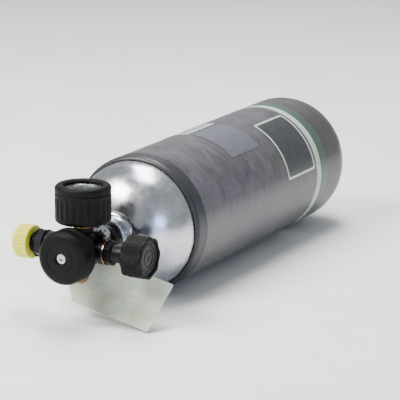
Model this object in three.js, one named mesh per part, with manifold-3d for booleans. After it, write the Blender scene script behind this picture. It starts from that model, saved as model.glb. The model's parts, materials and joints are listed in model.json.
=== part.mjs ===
// A firefighter's breathing-air cylinder with its hand valve, lying on its side.
// Millimetres. +Z is up, the cylinder's axis runs along Y and the valve points to -Y.
// The origin is on the supporting surface, under the middle of the whole length.
import * as THREE from 'three';
import { mergeVertices } from 'three/addons/utils/BufferGeometryUtils.js';
import Module from 'manifold-3d';

const wasm = await Module();
wasm.setup();

// Driving dimensions of the cylinder
const TANK_R = 80;
const TANK_LENGTH = 508;
const OVERALL_LENGTH = 608;
const TANK_SIDES = 24;
const WRAP_THICK = 5;
const WALL = 6;
const BASE_DOME = 62;
const POLE_R = 12;
const POLE_ANGLE = 81;
const BAND_START = 420;
const BAND_END = 442;
const DOME_HEIGHT = 58;
const NECK_R = 22;
const NECK_BORE_R = 9.8;
const GAP = 0.3;

// Driving dimensions of the valve, counted from its centre
const VALVE_AHEAD = 50;
const SIDE_REACH = 83;
const WHEEL_R = 24;
const WHEEL_WIDTH = 26;
const GUARD_R = 31;
const GUARD_TOP = 73;
const BUMPER_R = 30;
const CAP_R = 19;
const CAP_LENGTH = 20;
const PART_SIDES = 20;
const SMALL_SIDES = 12;

// Driving dimensions of the card tag
const TAG_LENGTH = 120;
const TAG_WIDTH = 60;
const TAG_THICK = 0.8;
const TAG_LEAN = THREE.MathUtils.degToRad(50);
const TAG_TURN = THREE.MathUtils.degToRad(-12);
const WIRE_R = 0.6;

// Places worked out from them
const AXIS_Z = TANK_R;
const BASE_Y = OVERALL_LENGTH / 2;
const NECK_FACE_Y = BASE_Y - TANK_LENGTH;
const VALVE_Y = NECK_FACE_Y - VALVE_AHEAD;
const FRONT = OVERALL_LENGTH - TANK_LENGTH - VALVE_AHEAD;
const LINER_R = TANK_R - WRAP_THICK;

const finish = (color, roughness, metalness) => ({ color, roughness, metalness });
const FINISHES = {
  bareAluminium: finish(0xb9bcc2, 0.3, 1),
  composite: finish(0x84868a, 0.35, 0),
  wrapEnd: finish(0x2e3137, 0.4, 0),
  blackAnodised: finish(0x1a1b1d, 0.4, 0.8),
  blackRubber: finish(0x161617, 0.75, 0),
  seal: finish(0x101011, 0.6, 0),
  brass: finish(0xb08d4a, 0.35, 1),
  steel: finish(0x9a9da1, 0.3, 1),
  copper: finish(0xb36a42, 0.35, 1),
  nylon: finish(0xe6e2d6, 0.5, 0),
  dialWhite: finish(0xeeeee8, 0.6, 0),
  pointerRed: finish(0xb5281f, 0.5, 0),
  clearLens: finish(0xdfe8ea, 0.05, 0),
  yellowPlastic: finish(0xd9d944, 0.45, 0),
  card: finish(0xc9d3c2, 0.85, 0),
};

const part = new THREE.Group();
const cylinder = new THREE.Group();
cylinder.position.set(0, 0, AXIS_Z);
const valve = new THREE.Group();
valve.position.set(0, VALVE_Y, AXIS_Z);
part.add(cylinder, valve);

// Keeps only the positions, joins shared corners and turns the faces outward.
function closed(geometry) {
  const bare = new THREE.BufferGeometry();
  bare.setAttribute('position', geometry.getAttribute('position').clone());
  if (geometry.index) bare.setIndex(geometry.index.clone());
  const merged = mergeVertices(bare, 1e-4);
  const index = merged.index.array;
  const corners = [0, 1, 2].map(() => new THREE.Vector3());
  const kept = [];
  let volume = 0;
  for (let i = 0; i < index.length; i += 3) {
    const [a, b, c] = index.slice(i, i + 3);
    if (a === b || b === c || c === a) continue;
    corners.forEach((corner, k) => corner.fromBufferAttribute(merged.attributes.position, index[i + k]));
    volume += corners[0].dot(corners[1].clone().cross(corners[2]));
    kept.push([a, b, c]);
  }
  merged.setIndex(kept.flatMap(([a, b, c]) => (volume > 0 ? [a, b, c] : [a, c, b])));
  return merged;
}

function toManifold(geometry) {
  return new wasm.Manifold(new wasm.Mesh({
    numProp: 3,
    vertProperties: geometry.attributes.position.array,
    triVerts: Uint32Array.from(geometry.index.array),
  }));
}

// Joins and cuts closed solids, all given in one frame.
function combine(first, { join = [], cut = [] }) {
  let solid = toManifold(first);
  for (const piece of join) solid = solid.add(toManifold(piece));
  for (const piece of cut) solid = solid.subtract(toManifold(piece));
  const { vertProperties, triVerts } = solid.getMesh();
  const geometry = new THREE.BufferGeometry();
  geometry.setAttribute('position', new THREE.BufferAttribute(vertProperties, 3));
  geometry.setIndex(new THREE.BufferAttribute(triVerts, 1));
  return closed(geometry);
}

// Turns a geometry built along +Y to run along the named axis.
function along(axis, geometry) {
  if (axis === 'x') geometry.rotateZ(-Math.PI / 2);
  if (axis === 'z') geometry.rotateX(Math.PI / 2);
  return geometry;
}

// A closed outline of [radius to a flat, station] spun round an axis, one flat facing down.
function spun(axis, outline, sides = PART_SIDES) {
  const grow = 1 / Math.cos(Math.PI / sides);
  const points = outline.map(([r, station]) => new THREE.Vector2(r * grow, station));
  points.push(points[0].clone());
  return closed(along(axis, new THREE.LatheGeometry(points, sides, Math.PI / sides)));
}

// A plain round bar, or a sleeve when it has a bore.
function bar(axis, from, to, radius, bore = 0, sides = PART_SIDES) {
  return spun(axis, [[bore, from], [radius, from], [radius, to], [bore, to]], sides);
}

// A hexagonal prism of the given width across flats.
function hex(axis, from, to, acrossFlats) {
  return bar(axis, from, to, acrossFlats / 2, 0, 6);
}

// Points of an ellipse's arc from angle a to angle b, in degrees, as [radius, station].
function arc(centreR, centreS, radiusR, radiusS, a, b, steps) {
  return Array.from({ length: steps + 1 }, (_, i) => {
    const angle = THREE.MathUtils.degToRad(a + ((b - a) * i) / steps);
    return [centreR + radiusR * Math.cos(angle), centreS + radiusS * Math.sin(angle)];
  });
}

// A round wire along a smooth curve through the given points.
function wire(points, radius, steps, sides = 6) {
  const section = new THREE.Shape();
  for (let i = 0; i < sides; i += 1) {
    const angle = (2 * Math.PI * i) / sides;
    const corner = [radius * Math.cos(angle), radius * Math.sin(angle)];
    if (i === 0) section.moveTo(...corner);
    else section.lineTo(...corner);
  }
  section.closePath();
  const path = new THREE.CatmullRomCurve3(points);
  return closed(new THREE.ExtrudeGeometry(section, { steps, extrudePath: path, curveSegments: 1 }));
}

function add(name, geometry, look, parent = part) {
  const mesh = new THREE.Mesh(geometry, new THREE.MeshStandardMaterial(look));
  mesh.name = name;
  parent.add(mesh);
  return mesh;
}

// Distance from the base, counted towards the valve, as a Y position
const fromBase = (station) => BASE_Y - station;
const placed = (outline) => outline.map(([r, station]) => [r, fromBase(station)]);

// Aluminium liner: a seamless flask with a domed base, a small pole boss and a threaded neck
function liner() {
  const neckFillet = 4;
  const grooveDepth = 2.2;
  const insideR = LINER_R - WALL;
  const domeStart = BAND_END - 2;
  const outline = [
    [0, 0],
    [POLE_R - 2, 0],
    [POLE_R - 1, 1],
    ...arc(0, BASE_DOME, LINER_R, BASE_DOME - WRAP_THICK, -POLE_ANGLE, 0, 7),
    ...arc(0, domeStart, LINER_R, DOME_HEIGHT, 2, 70, 8),
    [NECK_R + neckFillet, TANK_LENGTH - 12],
    [NECK_R, TANK_LENGTH - 9],
    [NECK_R, TANK_LENGTH - 1],
    [NECK_R - 1, TANK_LENGTH],
    [13.6, TANK_LENGTH],
    [13.6, TANK_LENGTH - grooveDepth],
    [10.4, TANK_LENGTH - grooveDepth],
    [10.4, TANK_LENGTH],
    [NECK_BORE_R, TANK_LENGTH],
    ...arc(0, domeStart, insideR, DOME_HEIGHT - 4, 78, 0, 5),
    ...arc(0, BASE_DOME, insideR, BASE_DOME - WRAP_THICK - WALL, 0, -90, 6),
  ];
  return spun('y', placed(outline), TANK_SIDES);
}

// Wound composite sleeve over the straight wall and the base dome, open at the pole,
// and the dark end of the winding at the shoulder
function overwrap() {
  const inner = LINER_R + GAP;
  const outline = [
    [inner, BAND_START],
    ...arc(0, BASE_DOME, inner, BASE_DOME - WRAP_THICK + GAP, 0, -POLE_ANGLE, 7),
    ...arc(0, BASE_DOME, TANK_R, BASE_DOME, -POLE_ANGLE, 0, 7),
    [TANK_R, BAND_START],
  ];
  return spun('y', placed(outline), TANK_SIDES);
}

function shoulderBand() {
  const inner = LINER_R + GAP;
  const start = BAND_START + GAP;
  const round = 5;
  const edge = arc(TANK_R - round, BAND_END - round, round, round, 0, 80, 4);
  const outline = [[inner, start], [TANK_R, start], ...edge, [inner, BAND_END]];
  return spun('y', placed(outline), TANK_SIDES);
}

add('liner', liner(), FINISHES.bareAluminium, cylinder);
add('overwrap', overwrap(), FINISHES.composite, cylinder);
add('shoulder_band', shoulderBand(), FINISHES.wrapEnd, cylinder);

// Valve body: a black forging with an inlet stem, a hub, and arms for the wheel, outlet and gauge.
// Stations along Y are counted from the valve's centre, towards the cylinder.
const INLET_END = VALVE_AHEAD + 28;
const STEM_R = NECK_BORE_R - GAP;
const HUB_HALF = 22;
const HUB_R = 21;
const COLLAR_R = 14;
const OUTLET_ARM = 44;
const WHEEL_ARM = 29.5;
const GAUGE_ARM = 24;
const BOSS_FRONT = 32;
const BURST_Y = 13;
const BURST_ANGLE = THREE.MathUtils.degToRad(45);

// Tilts a piece built along +Z so that it points between the gauge and the wheel.
function towardsBurst(geometry) {
  return geometry.rotateY(BURST_ANGLE).translate(0, BURST_Y, 0);
}

function valveBody() {
  const spine = spun('y', [
    [0, INLET_END], [STEM_R - 1, INLET_END], [STEM_R, INLET_END - 1], [STEM_R, VALVE_AHEAD - GAP],
    [17, VALVE_AHEAD - GAP], [17, VALVE_AHEAD - 9], [COLLAR_R, VALVE_AHEAD - 11],
    [COLLAR_R, HUB_HALF + 3], [HUB_R - 3, HUB_HALF], [HUB_R, HUB_HALF - 3], [HUB_R, 3 - HUB_HALF],
    [HUB_R - 3, -HUB_HALF], [14, -HUB_HALF], [14, -BOSS_FRONT], [0, -BOSS_FRONT],
  ]);
  const crossArm = spun('x', [
    [0, -OUTLET_ARM], [14, -OUTLET_ARM], [15, 1 - OUTLET_ARM], [15, -16], [14, 0],
    [14, WHEEL_ARM], [0, WHEEL_ARM],
  ]);
  return combine(spine, {
    join: [crossArm, bar('z', 0, GAUGE_ARM, 11)],
    cut: [
      bar('y', -2, INLET_END - 8, 3.2, 0, SMALL_SIDES),
      bar('y', INLET_END - 8.5, INLET_END + 1, 4.8, 0, SMALL_SIDES),
      bar('y', -BOSS_FRONT - 1, -HUB_HALF + 4, 2.8, 0, SMALL_SIDES),
      bar('x', 0, 4, 2, 0, SMALL_SIDES),
      bar('x', 2.6, 18, 7.3),
      bar('x', 17.5, WHEEL_ARM + 1, 11.3),
      bar('x', -31, 8, 2, 0, SMALL_SIDES).translate(0, -8, 0),
      bar('x', -OUTLET_ARM - 1, -30, 8.3),
      bar('z', 0, GAUGE_ARM, 1.4, 0, SMALL_SIDES),
      bar('z', 12, GAUGE_ARM + 1, 5, 0, SMALL_SIDES),
      towardsBurst(bar('z', 0, 13, 1.5, 0, SMALL_SIDES)),
      towardsBurst(bar('z', 12, HUB_R + 3, 4.3, 0, SMALL_SIDES)),
    ],
  });
}

add('valve_body', valveBody(), FINISHES.blackAnodised, valve);
add('neck_o_ring', spun('y', arc(12, VALVE_AHEAD + 1.1, 0.9, 0.9, 0, 315, 7)), FINISHES.seal, valve);

// Anti-debris tube and its sintered filter, inside the cylinder
const TUBE_START = INLET_END - 7.5;
const TUBE_END = INLET_END + 52;
add('inlet_tube', bar('y', TUBE_START, TUBE_END, 4.5, 3.2, SMALL_SIDES), FINISHES.brass, valve);
add('inlet_filter', spun('y', [
  [0, TUBE_END + 8], [5, TUBE_END + 8], [6.5, TUBE_END + 6], [6.5, TUBE_END - 6],
  [4.8, TUBE_END - 6], [4.8, TUBE_END + GAP], [0, TUBE_END + GAP],
], SMALL_SIDES), FINISHES.brass, valve);

// Bonnet with its gasket, and the spindle train inside it
const BONNET_FACE = WHEEL_ARM + 1.6;
const BONNET_END = 56;
const SPINDLE_R = 5;
const FLANGE_START = 22.6;
const WEB_END = 68;
const SPINDLE_END = 78;

function bonnet() {
  const barrel = spun('x', [
    [8.3, 18], [11, 18], [11, BONNET_FACE], [12, BONNET_FACE], [12, 38.5], [10, 40],
    [10, BONNET_END - 1], [9, BONNET_END], [5.4, BONNET_END], [5.4, 27], [8.3, 27],
  ]);
  const nut = combine(hex('x', BONNET_FACE, 38.5, 25), { cut: [bar('x', BONNET_FACE - 1, 40, 11.5)] });
  return combine(barrel, { join: [nut] });
}

function upperSpindle() {
  const shaft = spun('x', [
    [0, FLANGE_START], [8, FLANGE_START], [8, FLANGE_START + 3], [SPINDLE_R, FLANGE_START + 3],
    [SPINDLE_R, WEB_END - GAP], [3.2, WEB_END - GAP], [3.2, SPINDLE_END], [0, SPINDLE_END],
  ]);
  const tangLength = FLANGE_START - 13.5;
  const tang = closed(new THREE.BoxGeometry(tangLength + 1, 6, 4));
  tang.translate(FLANGE_START - tangLength / 2 + 0.5, 0, 0);
  return combine(shaft, { join: [tang] });
}

function seatPlug() {
  const socket = closed(new THREE.BoxGeometry(10, 6.8, 4.8));
  socket.translate(14, 0, 0);
  return combine(bar('x', 6, 18, 7), { cut: [socket] });
}

add('bonnet', bonnet(), FINISHES.steel, valve);
add('bonnet_gasket', bar('x', WHEEL_ARM + GAP, BONNET_FACE - GAP, 13.8, 11.4), FINISHES.copper, valve);
add('upper_spindle', upperSpindle(), FINISHES.steel, valve);
add('spindle_washer', bar('x', FLANGE_START + 3.3, 26.7, 8, 5.4), FINISHES.nylon, valve);
add('seat_plug', seatPlug(), FINISHES.brass, valve);
add('seat_insert', bar('x', 3.1, 5.7, 4.6, 0, SMALL_SIDES), FINISHES.nylon, valve);

// Handwheel: a moulded core, a ribbed rubber grip, and the spring, nut and cap that hold it on
const WHEEL_START = SIDE_REACH - WHEEL_WIDTH;
const CORE_R = 19;
const CORE_END = SIDE_REACH - 2;

function handwheel() {
  return spun('x', [
    [5.3, WHEEL_START + 1], [10, WHEEL_START + 1], [11, WHEEL_START + 5], [CORE_R, WHEEL_START + 6],
    [CORE_R, CORE_END], [14, CORE_END], [14, WEB_END], [5.3, WEB_END],
  ]);
}

// The grip's outline: a circle with shallow lobes for the fingers.
function handwheelGrip() {
  const lobes = 8;
  const depth = 0.9;
  const bevel = 2;
  const outline = new THREE.Shape();
  const steps = lobes * 6;
  for (let i = 0; i < steps; i += 1) {
    const angle = (2 * Math.PI * i) / steps;
    const radius = WHEEL_R - bevel - depth + depth * Math.cos(lobes * angle);
    const corner = [radius * Math.cos(angle), radius * Math.sin(angle)];
    if (i === 0) outline.moveTo(...corner);
    else outline.lineTo(...corner);
  }
  outline.closePath();
  const block = new THREE.ExtrudeGeometry(outline, {
    depth: WHEEL_WIDTH - 2 * bevel,
    bevelSize: bevel,
    bevelThickness: bevel,
    bevelSegments: 1,
    curveSegments: 1,
  });
  block.rotateY(Math.PI / 2).translate(WHEEL_START + bevel, 0, 0);
  return combine(closed(block), { cut: [bar('x', WHEEL_START - 1, SIDE_REACH + 1, CORE_R + GAP)] });
}

function wheelSpring() {
  const turns = 2.5;
  const start = WEB_END + 1.4;
  const length = 3.6;
  const steps = 30;
  const points = Array.from({ length: steps + 1 }, (_, i) => {
    const angle = (2 * Math.PI * turns * i) / steps;
    return new THREE.Vector3(start + (length * i) / steps, 7 * Math.cos(angle), 7 * Math.sin(angle));
  });
  return wire(points, 0.7, steps);
}

const NUT_START = WEB_END + 6;
const WHEEL_CAP_START = SPINDLE_END + GAP;
add('handwheel', handwheel(), FINISHES.blackAnodised, valve);
add('handwheel_grip', handwheelGrip(), FINISHES.blackRubber, valve);
add('wheel_spring', wheelSpring(), FINISHES.steel, valve);
add('wheel_nut', combine(hex('x', NUT_START, SPINDLE_END - 0.4, 13), {
  cut: [bar('x', NUT_START - 1, SPINDLE_END + 1, 3.5, 0, SMALL_SIDES)],
}), FINISHES.steel, valve);
add('wheel_cap', spun('x', [
  [0, WHEEL_CAP_START], [13.6, WHEEL_CAP_START], [13.6, CORE_END - 0.4], [10, CORE_END - 0.4],
  [9, WHEEL_CAP_START + 1.4], [0, WHEEL_CAP_START + 1.4],
]), FINISHES.blackAnodised, valve);

// Pressure gauge, facing up, in its thick rubber guard. Stations are heights above the valve's centre.
const GUARD_BOTTOM = 31;
const CASE_R = 24.5;
const CASE_BOTTOM = GUARD_BOTTOM + 2.5;
const CASE_TOP = 68;
const DIAL_Z = 57;
const NEEDLE_Z = 60;
const LENS_Z = 64;
const BEZEL_R = CASE_R - 1.5;

function gaugeSocket() {
  const stem = bar('z', 12.5, 38, 4.6, 1.2, SMALL_SIDES);
  const nut = combine(hex('z', GAUGE_ARM + GAP, GUARD_BOTTOM, 15), {
    cut: [bar('z', GAUGE_ARM - 1, GUARD_BOTTOM + 1, 3, 0, SMALL_SIDES)],
  });
  return combine(stem, { join: [nut] });
}

function bourdonTube() {
  const turn = THREE.MathUtils.degToRad(250);
  const points = Array.from({ length: 15 }, (_, i) => {
    const angle = (turn * i) / 14 - Math.PI / 3;
    return new THREE.Vector3(15 * Math.cos(angle), 15 * Math.sin(angle), 45);
  });
  return wire(points, 2, 20, 8);
}

function gaugePointer() {
  const needle = new THREE.Shape();
  needle.moveTo(0, 17);
  needle.lineTo(-1, 0);
  needle.lineTo(-1.6, -7);
  needle.lineTo(1.6, -7);
  needle.lineTo(1, 0);
  needle.closePath();
  const blade = closed(new THREE.ExtrudeGeometry(needle, { depth: 0.8, bevelEnabled: false }));
  return combine(blade.translate(0, 0, NEEDLE_Z), {
    join: [bar('z', NEEDLE_Z - 0.3, NEEDLE_Z + 1.6, 2.6, 0, SMALL_SIDES)],
  });
}

function gaugeGuard() {
  const lip = 21;
  const round = 2.5;
  return spun('z', [
    [9.5, GUARD_BOTTOM], [GUARD_R - round, GUARD_BOTTOM], [GUARD_R, GUARD_BOTTOM + round],
    ...arc(GUARD_R - round, GUARD_TOP - round, round, round, 0, 90, 3),
    [lip + 2, GUARD_TOP], [lip, GUARD_TOP - 2], [lip, CASE_TOP + GAP], [CASE_R + GAP, CASE_TOP + GAP],
    [CASE_R + GAP, CASE_BOTTOM - GAP], [9.5, CASE_BOTTOM - GAP],
  ]);
}

add('gauge_socket', gaugeSocket(), FINISHES.brass, valve);
add('gauge_case', spun('z', [
  [5, CASE_BOTTOM], [CASE_R, CASE_BOTTOM], [CASE_R, CASE_TOP], [BEZEL_R, CASE_TOP],
  [BEZEL_R, CASE_BOTTOM + 2], [5, CASE_BOTTOM + 2],
]), FINISHES.steel, valve);
add('bourdon_tube', bourdonTube(), FINISHES.brass, valve);
add('gauge_movement', bar('z', 50, 54, 8, 0, SMALL_SIDES), FINISHES.brass, valve);
add('gauge_dial', bar('z', DIAL_Z, DIAL_Z + 1.2, BEZEL_R - GAP, 2.2), FINISHES.dialWhite, valve);
add('pointer_arbor', bar('z', 54.3, NEEDLE_Z - 0.6, 1.2, 0, 8), FINISHES.steel, valve);
add('gauge_pointer', gaugePointer(), FINISHES.pointerRed, valve);
add('gauge_lens', bar('z', LENS_Z, LENS_Z + 2.4, BEZEL_R - GAP), FINISHES.clearLens, valve);
add('lens_ring', bar('z', LENS_Z + 2.7, CASE_TOP - 0.2, BEZEL_R - GAP, 20.5), FINISHES.steel, valve);
add('gauge_guard', gaugeGuard(), FINISHES.blackRubber, valve);

// Burst-disc plug between the gauge and the wheel arm
add('burst_gasket', towardsBurst(bar('z', 12.3, 12.9, 3.9, 2, SMALL_SIDES)), FINISHES.copper, valve);
add('burst_disc', towardsBurst(bar('z', 13.2, 13.7, 3.9, 0, SMALL_SIDES)), FINISHES.steel, valve);
add('burst_plug', towardsBurst(combine(bar('z', 14, 22.3, 4, 0, SMALL_SIDES), {
  join: [hex('z', 22, 28.5, 13)],
  cut: [bar('z', 13, 30, 1.5, 0, SMALL_SIDES)],
})), FINISHES.brass, valve);

// Outlet: a threaded adapter with its seal, under the yellow dust cap
const ADAPTER_FACE = OUTLET_ARM + 1.8;
const COLLAR_END = 57;
const OUTLET_END = 76;
const SOCKET_R = 6;

function outletAdapter() {
  const sleeve = spun('x', [
    [2.5, -31], [8, -31], [8, -ADAPTER_FACE], [13, -ADAPTER_FACE], [13, -COLLAR_END],
    [10.5, -COLLAR_END], [10.5, 1 - OUTLET_END], [9.5, -OUTLET_END], [SOCKET_R, -OUTLET_END],
    [SOCKET_R, 12 - OUTLET_END], [2.5, 14 - OUTLET_END],
  ]);
  const nut = combine(hex('x', -COLLAR_END, -ADAPTER_FACE, 28), {
    cut: [bar('x', -COLLAR_END - 1, 1 - ADAPTER_FACE, 12)],
  });
  return combine(sleeve, { join: [nut] });
}

add('outlet_adapter', outletAdapter(), FINISHES.blackAnodised, valve);
add('adapter_o_ring', bar('x', -ADAPTER_FACE + GAP, -OUTLET_ARM - GAP, 11, 8.4), FINISHES.seal, valve);
add('dust_cap', spun('x', [
  [10.9, CAP_LENGTH - SIDE_REACH], [CAP_R, CAP_LENGTH - SIDE_REACH], [CAP_R, 2 - SIDE_REACH],
  [CAP_R - 2, -SIDE_REACH], [0, -SIDE_REACH], [0, 3 - SIDE_REACH], [10.9, 3 - SIDE_REACH],
]), FINISHES.yellowPlastic, valve);

// Rubber bumper over the front of the valve, and its screw
const BUMPER_BACK = HUB_HALF + 0.6;
const SCREW_SEAT = 43.5;
add('front_bumper', spun('y', [
  [BUMPER_R - 2, -BUMPER_BACK], [BUMPER_R, -BUMPER_BACK - 2], [BUMPER_R, 8 - FRONT],
  ...arc(BUMPER_R - 8, 8 - FRONT, 8, 8, 0, -90, 4),
  [6.5, -FRONT], [6, -FRONT + 0.5], [6, -SCREW_SEAT], [2.8, -SCREW_SEAT],
  [2.8, -BOSS_FRONT - GAP], [14.3, -BOSS_FRONT - GAP], [14.3, -BUMPER_BACK],
]), FINISHES.blackRubber, valve);
add('bumper_screw', spun('y', [
  [0, -HUB_HALF - 2], [2.5, -HUB_HALF - 2], [2.5, -SCREW_SEAT - GAP], [5.6, -SCREW_SEAT - GAP],
  [5.6, -SCREW_SEAT - 4], [0, -SCREW_SEAT - 4],
], SMALL_SIDES), FINISHES.steel, valve);

// Card tag, hung on a wire from the valve's collar and resting with one corner near the ground.
// The card is drawn flat, its eyelet at the origin and its length along +X.
const EYELET_INSET = 10;
const EYELET_R = 3.2;
const EYELET = new THREE.Vector3(-14, VALVE_Y + 20, 41);
const CLIP = 14;

function cardShape() {
  const left = -EYELET_INSET;
  const right = TAG_LENGTH - EYELET_INSET;
  const half = TAG_WIDTH / 2;
  const card = new THREE.Shape();
  card.moveTo(left, CLIP - half);
  card.lineTo(left + CLIP, -half);
  card.lineTo(right, -half);
  card.lineTo(right, half);
  card.lineTo(left + CLIP, half);
  card.lineTo(left, half - CLIP);
  card.closePath();
  return card;
}

const tagGroup = new THREE.Group();
tagGroup.position.copy(EYELET);
tagGroup.rotation.set(TAG_LEAN, 0, 0);
part.add(tagGroup);
const tagCard = closed(new THREE.ExtrudeGeometry(cardShape(), { depth: TAG_THICK, bevelEnabled: false }));
tagCard.translate(0, 0, -TAG_THICK / 2);
const card = combine(tagCard, { cut: [bar('z', -2, 2, EYELET_R, 0, SMALL_SIDES)] });
const patch = bar('z', TAG_THICK / 2 + 0.1, TAG_THICK / 2 + 0.5, 8, EYELET_R, SMALL_SIDES);
add('tag', card.rotateZ(TAG_TURN), FINISHES.card, tagGroup);
add('tag_patch', patch.rotateZ(TAG_TURN), FINISHES.card, tagGroup);

// The wire: a hairpin through the eyelet, then up and once round the valve's collar.
function tagWire() {
  const loopR = COLLAR_R + 1.6;
  const loopY = VALVE_Y + 31;
  const strand = 2.2;
  const middle = TAG_LEAN + Math.PI / 2 - THREE.MathUtils.degToRad(22);
  const away = new THREE.Vector3(0, Math.cos(middle) * strand, Math.sin(middle) * strand);
  const spot = (dx, side) => EYELET.clone().add(new THREE.Vector3(dx, 0, 0)).addScaledVector(away, side);
  const points = [
    spot(-17, 1.2), spot(-10, 1), spot(-4, 1), spot(0, 0.8), spot(1.3, 0),
    spot(0, -0.8), spot(-4, -1), spot(-10, -1), spot(-15, -0.9),
  ];
  const turns = 14;
  const from = -135;
  const sweep = 330;
  for (let i = 0; i <= turns; i += 1) {
    const angle = THREE.MathUtils.degToRad(from - (sweep * i) / turns);
    const slide = loopY - 2 + (4 * i) / turns;
    points.push(new THREE.Vector3(loopR * Math.cos(angle), slide, AXIS_Z + loopR * Math.sin(angle)));
  }
  return wire(points, WIRE_R, 66);
}
add('tag_wire', tagWire(), FINISHES.steel);

export default part;
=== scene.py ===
# %% [markdown]
# # A breathing-air cylinder with its hand valve
# The object is the air supply that a firefighter carries: an aluminium flask wound with glass
# fibre in resin, and a black hand valve with a gauge, a side outlet and a handwheel.
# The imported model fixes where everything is. This lesson makes the surfaces that a person
# sees, part by part, and gives each one the finish of its real material.

# %% Load the frame
import json
import math

import bmesh
import bpy
from mathutils import Matrix, Vector


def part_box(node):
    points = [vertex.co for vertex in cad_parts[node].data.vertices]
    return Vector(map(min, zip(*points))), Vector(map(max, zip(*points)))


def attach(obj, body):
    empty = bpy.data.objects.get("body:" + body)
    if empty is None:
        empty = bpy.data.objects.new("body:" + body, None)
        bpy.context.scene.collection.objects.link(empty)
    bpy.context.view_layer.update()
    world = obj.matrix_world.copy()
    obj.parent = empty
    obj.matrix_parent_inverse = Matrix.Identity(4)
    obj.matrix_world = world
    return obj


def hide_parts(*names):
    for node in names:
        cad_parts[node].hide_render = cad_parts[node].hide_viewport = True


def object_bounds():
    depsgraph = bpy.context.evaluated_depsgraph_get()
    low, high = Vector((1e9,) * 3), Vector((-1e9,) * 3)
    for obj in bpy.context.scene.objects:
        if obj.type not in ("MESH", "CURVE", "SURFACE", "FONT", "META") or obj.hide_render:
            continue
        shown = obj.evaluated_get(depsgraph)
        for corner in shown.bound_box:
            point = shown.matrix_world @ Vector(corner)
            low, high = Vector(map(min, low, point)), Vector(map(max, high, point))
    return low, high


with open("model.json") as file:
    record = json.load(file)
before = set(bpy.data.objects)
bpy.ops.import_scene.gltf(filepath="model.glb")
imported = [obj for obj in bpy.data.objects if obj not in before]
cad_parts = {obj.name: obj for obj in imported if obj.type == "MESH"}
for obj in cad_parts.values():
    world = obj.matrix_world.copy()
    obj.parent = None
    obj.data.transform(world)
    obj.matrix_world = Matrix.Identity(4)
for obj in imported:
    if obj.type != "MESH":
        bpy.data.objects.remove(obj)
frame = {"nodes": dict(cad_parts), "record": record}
CAD_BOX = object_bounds()

# %% [markdown]
# ## Units and places
# A valve is drawn in millimetres, so outlines here are too, and one constant turns them into
# Blender's metres. Places come from the boxes of the imported nodes, so that nothing is placed
# by eye. The record says which body each node moves with.

# %% Places from the frame
MM = 0.001
AIR = 0.25  # how far a finished piece stays inside the plain solid that it stands for


def box_mm(node):
    """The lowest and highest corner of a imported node, in millimetres."""
    low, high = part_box(node)
    return low / MM, high / MM


BODY_OF = {node: body for body, nodes in frame["record"]["behaviour"]["bodies"].items() for node in nodes}

wrap_low, wrap_high = box_mm("overwrap")
liner_low, liner_high = box_mm("liner")
bonnet_low, bonnet_high = box_mm("bonnet")
TANK_R = (wrap_high.x - wrap_low.x) / 2
AXIS_Z = (wrap_high.z + wrap_low.z) / 2
BASE_Y = liner_high.y
TANK_LENGTH = liner_high.y - liner_low.y
VALVE = Vector((0, (bonnet_low.y + bonnet_high.y) / 2, AXIS_Z))
print(f"cylinder {2 * TANK_R:.0f} x {TANK_LENGTH:.0f} mm, valve centre at y {VALVE.y:.0f} mm")


def seat(origin, direction):
    """The place that a piece is made in: local Z runs along direction, in millimetres."""
    aim = Vector(direction).to_track_quat("Z", "Y").to_matrix().to_4x4()
    return Matrix.Translation(Vector(origin) * MM) @ aim @ Matrix.Scale(MM, 4)


FROM_BASE = seat((0, BASE_Y, AXIS_Z), (0, -1, 0))
TO_FRONT = seat(VALVE, (0, -1, 0))
TO_WHEEL = seat(VALVE, (1, 0, 0))
TO_OUTLET = seat(VALVE, (-1, 0, 0))
TO_GAUGE = seat(VALVE, (0, 0, 1))
BURST_BACK = 13
TO_BURST = seat(VALVE + Vector((0, BURST_BACK, 0)), (1, 0, 1))

# %% [markdown]
# ## Camera, light and floor
# The object is judged as it lies: seen from the valve's end, a little from the right and above.
# A long lens from a few metres keeps the outlines nearly parallel. The light is a soft studio: a
# large lamp high on the left, a cooler one low on the right, and a strip above that draws the
# bright line along the cylinder's top.

# %% Camera
AZIMUTH = math.radians(28)
ELEVATION = math.radians(14)
CAMERA_AWAY = 2.6
FRAME_ACROSS = 0.475
SENSOR = 36

middle = (CAD_BOX[0] + CAD_BOX[1]) / 2
towards_camera = Vector((math.sin(AZIMUTH) * math.cos(ELEVATION), -math.cos(AZIMUTH) * math.cos(ELEVATION),
                         math.sin(ELEVATION)))
camera = bpy.data.objects.new("camera", bpy.data.cameras.new("camera"))
bpy.context.scene.collection.objects.link(camera)
camera.location = middle + towards_camera * CAMERA_AWAY
camera.rotation_euler = (-towards_camera).to_track_quat("-Z", "Y").to_euler()
camera.data.sensor_width = SENSOR
camera.data.lens = SENSOR * CAMERA_AWAY / FRAME_ACROSS
bpy.context.scene.camera = camera
print(f"camera {CAMERA_AWAY} m away with a {camera.data.lens:.0f} mm lens")

# %% [markdown]
# ## Tools of the lesson
# Three helpers do most of the work. One adds a shader node with its settings and links. One
# rounds the corners of an outline, because no moulded or machined edge is perfectly sharp. One
# spins an outline round an axis, as a lathe does. The spinner also takes a rule for the radius at
# each angle and station, so the same tool makes knurls, hexagons, ribs, lobes and threads.

# %% Colours and nodes
def linear(hex_colour):
    """An sRGB hex colour as linear red, green, blue and alpha."""
    shares = [int(hex_colour[i:i + 2], 16) / 255 for i in (1, 3, 5)]
    return [c / 12.92 if c <= 0.04045 else ((c + 0.055) / 1.055) ** 2.4 for c in shares] + [1.0]


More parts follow.
